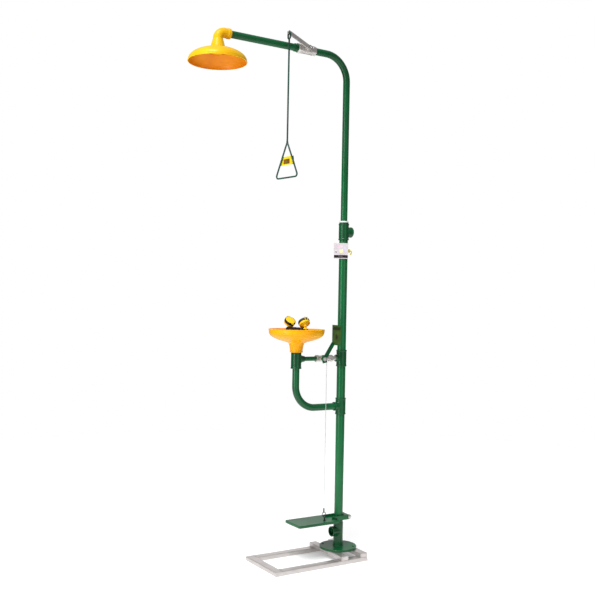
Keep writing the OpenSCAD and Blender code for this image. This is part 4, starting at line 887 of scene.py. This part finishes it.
def make_pedal():
    """Folded tread with round corners, its bolts, washers and two rubber stops."""
    low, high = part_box("pedal_plate")
    tip_x = low.x
    bm = cad_copy("pedal_plate")
    wide = max(abs(low.y), abs(high.y))
    soften_corners(bm, lambda a, b: along(a, b, Z) and abs(a.x - tip_x) < 1e-4 and abs(abs(a.y) - wide) < 1e-4,
                   9 * MM, 6)
    top = pedal_pivot.z
    soften_corners(bm, lambda a, b: abs(a.z - top) < 1e-5 and abs(b.z - top) < 1e-5
                   and a.x < pedal_pivot.x - 60 * MM and b.x < pedal_pivot.x - 60 * MM
                   and (min(abs(abs(a.y) - wide), abs(a.x - tip_x)) < 9.1 * MM)
                   and (min(abs(abs(b.y) - wide), abs(b.x - tip_x)) < 9.1 * MM)
                   and not along(a, b, Z), 2.6 * MM, 4)
    tread = add_piece("pedal_plate_shape", bm, "pedal", "green_coat", hides=["pedal_plate"])
    round_edges(tread, 0.7 * MM, 2)
    eye = middle("pedal_eye")
    parts = [
        placed(washer(3.2 * MM, 7.2 * MM, 1.2 * MM), at(Vector((eye.x, eye.y, top)))),
        placed(hexagon(9.6 * MM, 3.6 * MM, 2.9 * MM), at(Vector((eye.x, eye.y, top + 1.2 * MM)))),
        placed(thread(3.0 * MM, 14 * MM, 1.0 * MM), at(Vector((eye.x, eye.y, top - 10 * MM)))),
        placed(washer(3.2 * MM, 7.2 * MM, 1.2 * MM), at(Vector((eye.x, eye.y, top - 4.2 * MM)))),
        placed(hexagon(9.6 * MM, 3.6 * MM, 2.9 * MM), at(Vector((eye.x, eye.y, top - 7.8 * MM)))),
    ]
    add_piece("pedal_eye_hardware", merged(*parts), "pedal", "zinc_hardware", look=DARK_STEEL)
    rear_x = column.x - 38 * MM
    for name, side in (("near", -1), ("far", 1)):
        place = Vector((rear_x - 4 * MM, side * 41 * MM, top))
        cap = rounded([(0, 0, 0), (7.5 * MM, 0, 0.8 * MM), (7 * MM, 5 * MM, 2.6 * MM), (0, 6 * MM, 0)], closed=False)
        add_piece("pedal_cap_" + name, placed(lathe([(p.x, p.y) for p in cap], 40, loop=False), at(place)),
                  "pedal", "black_rubber")
    softened("pedal_collar", 1.6 * MM, 4)
    bolt_low, bolt_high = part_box("pedal_pivot_bolt")
    for name, face_y, out in (("near", bolt_low.y + 6 * MM, -Y), ("far", bolt_high.y - 6 * MM, Y)):
        place = Vector((pedal_pivot.x, face_y, pedal_pivot.z))
        parts = [placed(washer(4.2 * MM, 9 * MM, 1.4 * MM), at(place, out)),
                 placed(hexagon(13 * MM, 4.9 * MM, 0 if name == "near" else 3.9 * MM), at(place + out * 1.4 * MM, out))]
        if name == "far":
            parts.append(placed(thread(4 * MM, 8 * MM, 1.25 * MM), at(place, out)))
        add_piece("pedal_pivot_" + name, merged(*parts), "frame", "zinc_hardware")


# ---- Column, flange and stand ----

def make_column():
    for node in ("waste_tee", "drain_tee", "supply_tee", "inlet_tee", "bowl_tee"):
        cast(node, 1.2 * MM, 4)
    softened("base_flange", 1.6 * MM, 4)
    softened("reducer_bush", 1.0 * MM)
    softened("gasket_ring", 1.6 * MM, 4)
    foot = Vector((column.x, 0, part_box("base_flange")[1].z - 12 * MM))
    weld("flange_weld", [circle_path(foot, Z, extent("waste_tee").y / 2 + 0.6 * MM, 120)], "frame", "green_coat",
         2.6 * MM, cyclic=True)


def tube_edges(node, axis):
    """The stand's tube with the rounded corners of rolled section."""
    bm = cad_copy(node)
    low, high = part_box(node)

    def outer(a, b):
        if not along(a, b, axis) or (b - a).length < 20 * MM:
            return False
        free = [i for i in range(3) if abs(axis[i]) < 0.5]
        return all(min(abs(a[i] - low[i]), abs(a[i] - high[i])) < 1e-4 for i in free)

    soften_corners(bm, outer, 3 * MM, 4)
    piece = add_piece(node + "_shape", bm, "frame", "stand_tube", hides=[node])
    round_edges(piece, 0.35 * MM, 2)


def make_stand():
    for node in ("stand_rail_near", "stand_rail_far"):
        tube_edges(node, X)
    for node in ("stand_end_tube", "stand_cross_front", "stand_cross_rear"):
        tube_edges(node, Y)
    caps = []
    for node in ("stand_end_tube", "stand_cross_front", "stand_cross_rear"):
        size = extent(node)
        place = middle(node)
        for side in (-1, 1):
            cap = plate([tuple(p) for p in rounded_box(size.x - 0.8 * MM, size.z - 0.8 * MM, 3 * MM)], 1.6 * MM)
            end = Vector((place.x, place.y + side * (size.y / 2 - 0.8 * MM), place.z))
            caps.append(placed(cap, Matrix.Translation(end) @ Matrix.Rotation(-side * math.pi / 2, 4, "X")))
    piece = add_piece("stand_end_caps", merged(*caps), "frame", "stand_tube")
    round_edges(piece, 0.5 * MM)
    seam = 1.6 * MM
    paths = []
    end_low, end_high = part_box("stand_end_tube")
    for node in ("stand_rail_near", "stand_rail_far"):
        low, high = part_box(node)
        paths.append(between(Vector((end_high.x, low.y + 2 * MM, high.z)), Vector((end_high.x, high.y - 2 * MM, high.z)),
                             1.3 * MM))
        for node_2 in ("stand_cross_front", "stand_cross_rear"):
            cross_low, cross_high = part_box(node_2)
            for y in (low.y, high.y):
                if abs(y) < 130 * MM:
                    paths.append(between(Vector((cross_low.x + 3 * MM, y, high.z)),
                                         Vector((cross_high.x - 3 * MM, y, high.z)), 1.3 * MM))
            for x in (cross_low.x, cross_high.x):
                if low.x < x < high.x - 2 * MM:
                    paths.append(between(Vector((x, low.y + 4 * MM, high.z)), Vector((x, high.y - 4 * MM, high.z)),
                                         1.3 * MM))
    weld("stand_welds", paths, "frame", "stand_tube", seam)


# ---- Inspection tag ----

def make_tag():
    """Card with plain printed fields, an eyelet and its strap, and a yellow tie round the column."""
    face = plane_of("inspection_tag", Vector((-0.53, -0.85, 0)))
    softened("inspection_tag", 0.3 * MM, 2)
    ink = 0.2 * MM
    width = 70 * MM
    height = extent("inspection_tag").z

    def patch(name, x, z, w, h, look, fillet=1.5 * MM):
        shape = plate([tuple(p) for p in rounded_box(w, h, fillet)], ink)
        add_piece(name, placed(shape, face @ Matrix.Translation((x, z, 0))), "frame", "tag_card", look=look)

    patch("tag_band", 0, -height * 0.36, width - 3 * MM, height * 0.18, INK_BLACK)
    patch("tag_band_field", -2 * MM, -height * 0.35, width * 0.3, height * 0.09, INK_GREY)
    patch("tag_patch_pink", -width * 0.12, height * 0.26, width * 0.34, height * 0.16, INK_PINK)
    patch("tag_patch_yellow", width * 0.02, -height * 0.02, width * 0.22, height * 0.22, INK_CREAM)
    patch("tag_patch_lilac", width * 0.30, height * 0.06, width * 0.16, height * 0.24, INK_LILAC)
    hole = face @ Matrix.Translation((-width * 0.34, -height * 0.06, 0))
    out = (hole.to_3x3() @ Z)
    eyelet = lathe(rounded([(2.3 * MM, -0.3 * MM, 0.2 * MM), (4.6 * MM, -0.3 * MM, 0.3 * MM),
                            (4.2 * MM, 0.9 * MM, 0.5 * MM), (2.5 * MM, 0.9 * MM, 0.4 * MM)]), 48)
    add_piece("tag_eyelet", placed(eyelet, hole), "frame", "zinc_hardware")
    centre = Vector((column.x, 0, middle("inspection_tag").z))
    strap_z = centre.z - height * 0.40
    path = []
    for i in range(49):
        angle = math.radians(-128 + 200 * i / 48)
        r = column_r + 1.0 * MM
        path.append(Vector((column.x + r * math.cos(angle), r * math.sin(angle), strap_z + 10 * MM * (i / 48) ** 2)))
    wire("tag_strap", [path], 1.3 * MM, "frame", "white_plastic")
    tie = []
    tie_z = centre.z + 1 * MM
    for i in range(73):
        angle = 2 * math.pi * i / 72
        tie.append(Vector((column.x + (column_r + 1.2 * MM) * math.cos(angle), (column_r + 1.2 * MM) * math.sin(angle), tie_z)))
    wire("tie_loop", [tie], 1.2 * MM, "frame", "yellow_plastic", look=SIGN)
    head_place = Vector((column.x + column_r * 0.80, -column_r * 0.80, tie_z))
    block = plate([tuple(p) for p in rounded_box(11 * MM, 15 * MM, 2 * MM)], 8 * MM)
    add_piece("tie_head", placed(block, at(head_place, Vector((0.7, -0.7, 0)))), "frame", "yellow_plastic",
              look=SIGN)
    tail = [head_place + Vector((0.7, -0.7, 0)) * 5 * MM]
    for i in range(1, 13):
        t = i / 12
        tail.append(tail[0] + Vector((10 * MM * math.sin(2.6 * t), -5 * MM * math.sin(2.6 * t), 5 * MM * t - 24 * MM * t * t)))
    wire("tie_tail", [tail], 2.8 * MM, "frame", "yellow_plastic", look=SIGN)


# ---- Camera and light ----

CAMERA_FROM_COLUMN = Vector((-2.390, -3.422, 1.242))
CAMERA_TURN = math.radians(-31.9)
CAMERA_PITCH = math.radians(0.24)
CAMERA_ROLL = math.radians(1.094)
CAMERA_LENS = 51.4


def make_camera():
    data = bpy.data.cameras.new("camera")
    data.lens = CAMERA_LENS
    data.sensor_width = 36
    data.clip_end = 100
    camera = bpy.data.objects.new("camera", data)
    bpy.context.scene.collection.objects.link(camera)
    upright = Matrix.Rotation(math.radians(90) + CAMERA_PITCH, 4, "X")
    turn = Matrix.Rotation(CAMERA_TURN, 4, "Z")
    roll = Matrix.Rotation(CAMERA_ROLL, 4, "Z")
    camera.matrix_world = Matrix.Translation(column + CAMERA_FROM_COLUMN) @ turn @ upright @ roll
    bpy.context.scene.camera = camera


def add_light(name, kind, place, target, power, **settings):
    data = bpy.data.lights.new(name, kind)
    data.energy = power
    for key, value in settings.items():
        setattr(data, key, value)
    light = bpy.data.objects.new(name, data)
    bpy.context.scene.collection.objects.link(light)
    light.location = place
    light.rotation_euler = (Vector(target) - Vector(place)).to_track_quat("-Z", "Y").to_euler()
    light.visible_camera = False


def make_world():
    """White behind the object, and a dimmer studio, lighter overhead, that lights it."""
    world = bpy.data.worlds.new("studio")
    bpy.context.scene.world = world
    world.use_nodes = True
    tree = world.node_tree
    seen = tree.nodes["Background"]
    seen.inputs["Color"].default_value = (1, 1, 1, 1)
    room = tree.nodes.new("ShaderNodeBackground")
    place = tree.nodes.new("ShaderNodeTexCoord")
    split = tree.nodes.new("ShaderNodeSeparateXYZ")
    ramp = tree.nodes.new("ShaderNodeValToRGB")
    ramp.color_ramp.elements[0].position = 0.0
    ramp.color_ramp.elements[0].color = (0.15, 0.15, 0.155, 1)
    ramp.color_ramp.elements[1].position = 0.8
    ramp.color_ramp.elements[1].color = (0.44, 0.44, 0.45, 1)
    path = tree.nodes.new("ShaderNodeLightPath")
    mix = tree.nodes.new("ShaderNodeMixShader")
    tree.links.new(place.outputs["Generated"], split.inputs["Vector"])
    tree.links.new(split.outputs["Z"], ramp.inputs["Fac"])
    tree.links.new(ramp.outputs["Color"], room.inputs["Color"])
    tree.links.new(path.outputs["Is Camera Ray"], mix.inputs["Fac"])
    tree.links.new(room.outputs["Background"], mix.inputs[1])
    tree.links.new(seen.outputs["Background"], mix.inputs[2])
    tree.links.new(mix.outputs["Shader"], tree.nodes["World Output"].inputs["Surface"])


def make_floor():
    """Pale floor that fades into the white backdrop."""
    disc = lathe([(0, 0), (4.5, 0)], 64, loop=False)
    mesh = bpy.data.meshes.new("floor")
    disc.to_mesh(mesh)
    disc.free()
    floor = bpy.data.objects.new("floor", mesh)
    bpy.context.scene.collection.objects.link(floor)
    floor.location = Vector((column.x * 0.5, 0, 0))
    paint = Surface("floor_paint")
    paint.shader.inputs["Base Color"].default_value = (0.90, 0.90, 0.90, 1)
    paint.shader.inputs["Roughness"].default_value = 0.7
    paint.shader.inputs["Emission Color"].default_value = (1, 1, 1, 1)
    paint.shader.inputs["Emission Strength"].default_value = 0.18
    mapping = paint.node("ShaderNodeMapping", Scale=(1 / 4.4, 1 / 4.4, 1 / 4.4))
    fade = paint.tree.nodes.new("ShaderNodeTexGradient")
    fade.gradient_type = "SPHERICAL"
    paint.link(paint.place, mapping.inputs["Vector"])
    paint.link(mapping.outputs["Vector"], fade.inputs["Vector"])
    paint.link(paint.ramp(fade.outputs["Fac"], [(0.05, (0, 0, 0, 1)), (0.75, (1, 1, 1, 1))]),
               paint.shader.inputs["Alpha"])
    mesh.materials.append(paint.material)


def make_studio():
    make_world()
    make_floor()
    aim = column + Z * 1.3
    add_light("key_sun", "SUN", aim + Vector((-1.5, -1.1, 3.0)), aim, 2.5, angle=math.radians(24))
    add_light("strip_left", "AREA", column + Vector((-2.3, -0.45, 1.5)), aim, 30,
              shape="RECTANGLE", size=0.45, size_y=2.6)
    add_light("front_fill", "AREA", column + Vector((0.2, -3.6, 1.2)), aim, 14, shape="DISK", size=2.2)
    add_light("back_fill", "AREA", column + Vector((1.6, 3.2, 2.4)), aim, 16, shape="DISK", size=2.0)


bpy.context.scene.view_settings.view_transform = "Standard"
make_camera()
make_studio()
dress_cad_nodes()
make_shower()
make_eyewash()
make_wire()
make_pedal()
make_column()
make_stand()
make_tag()
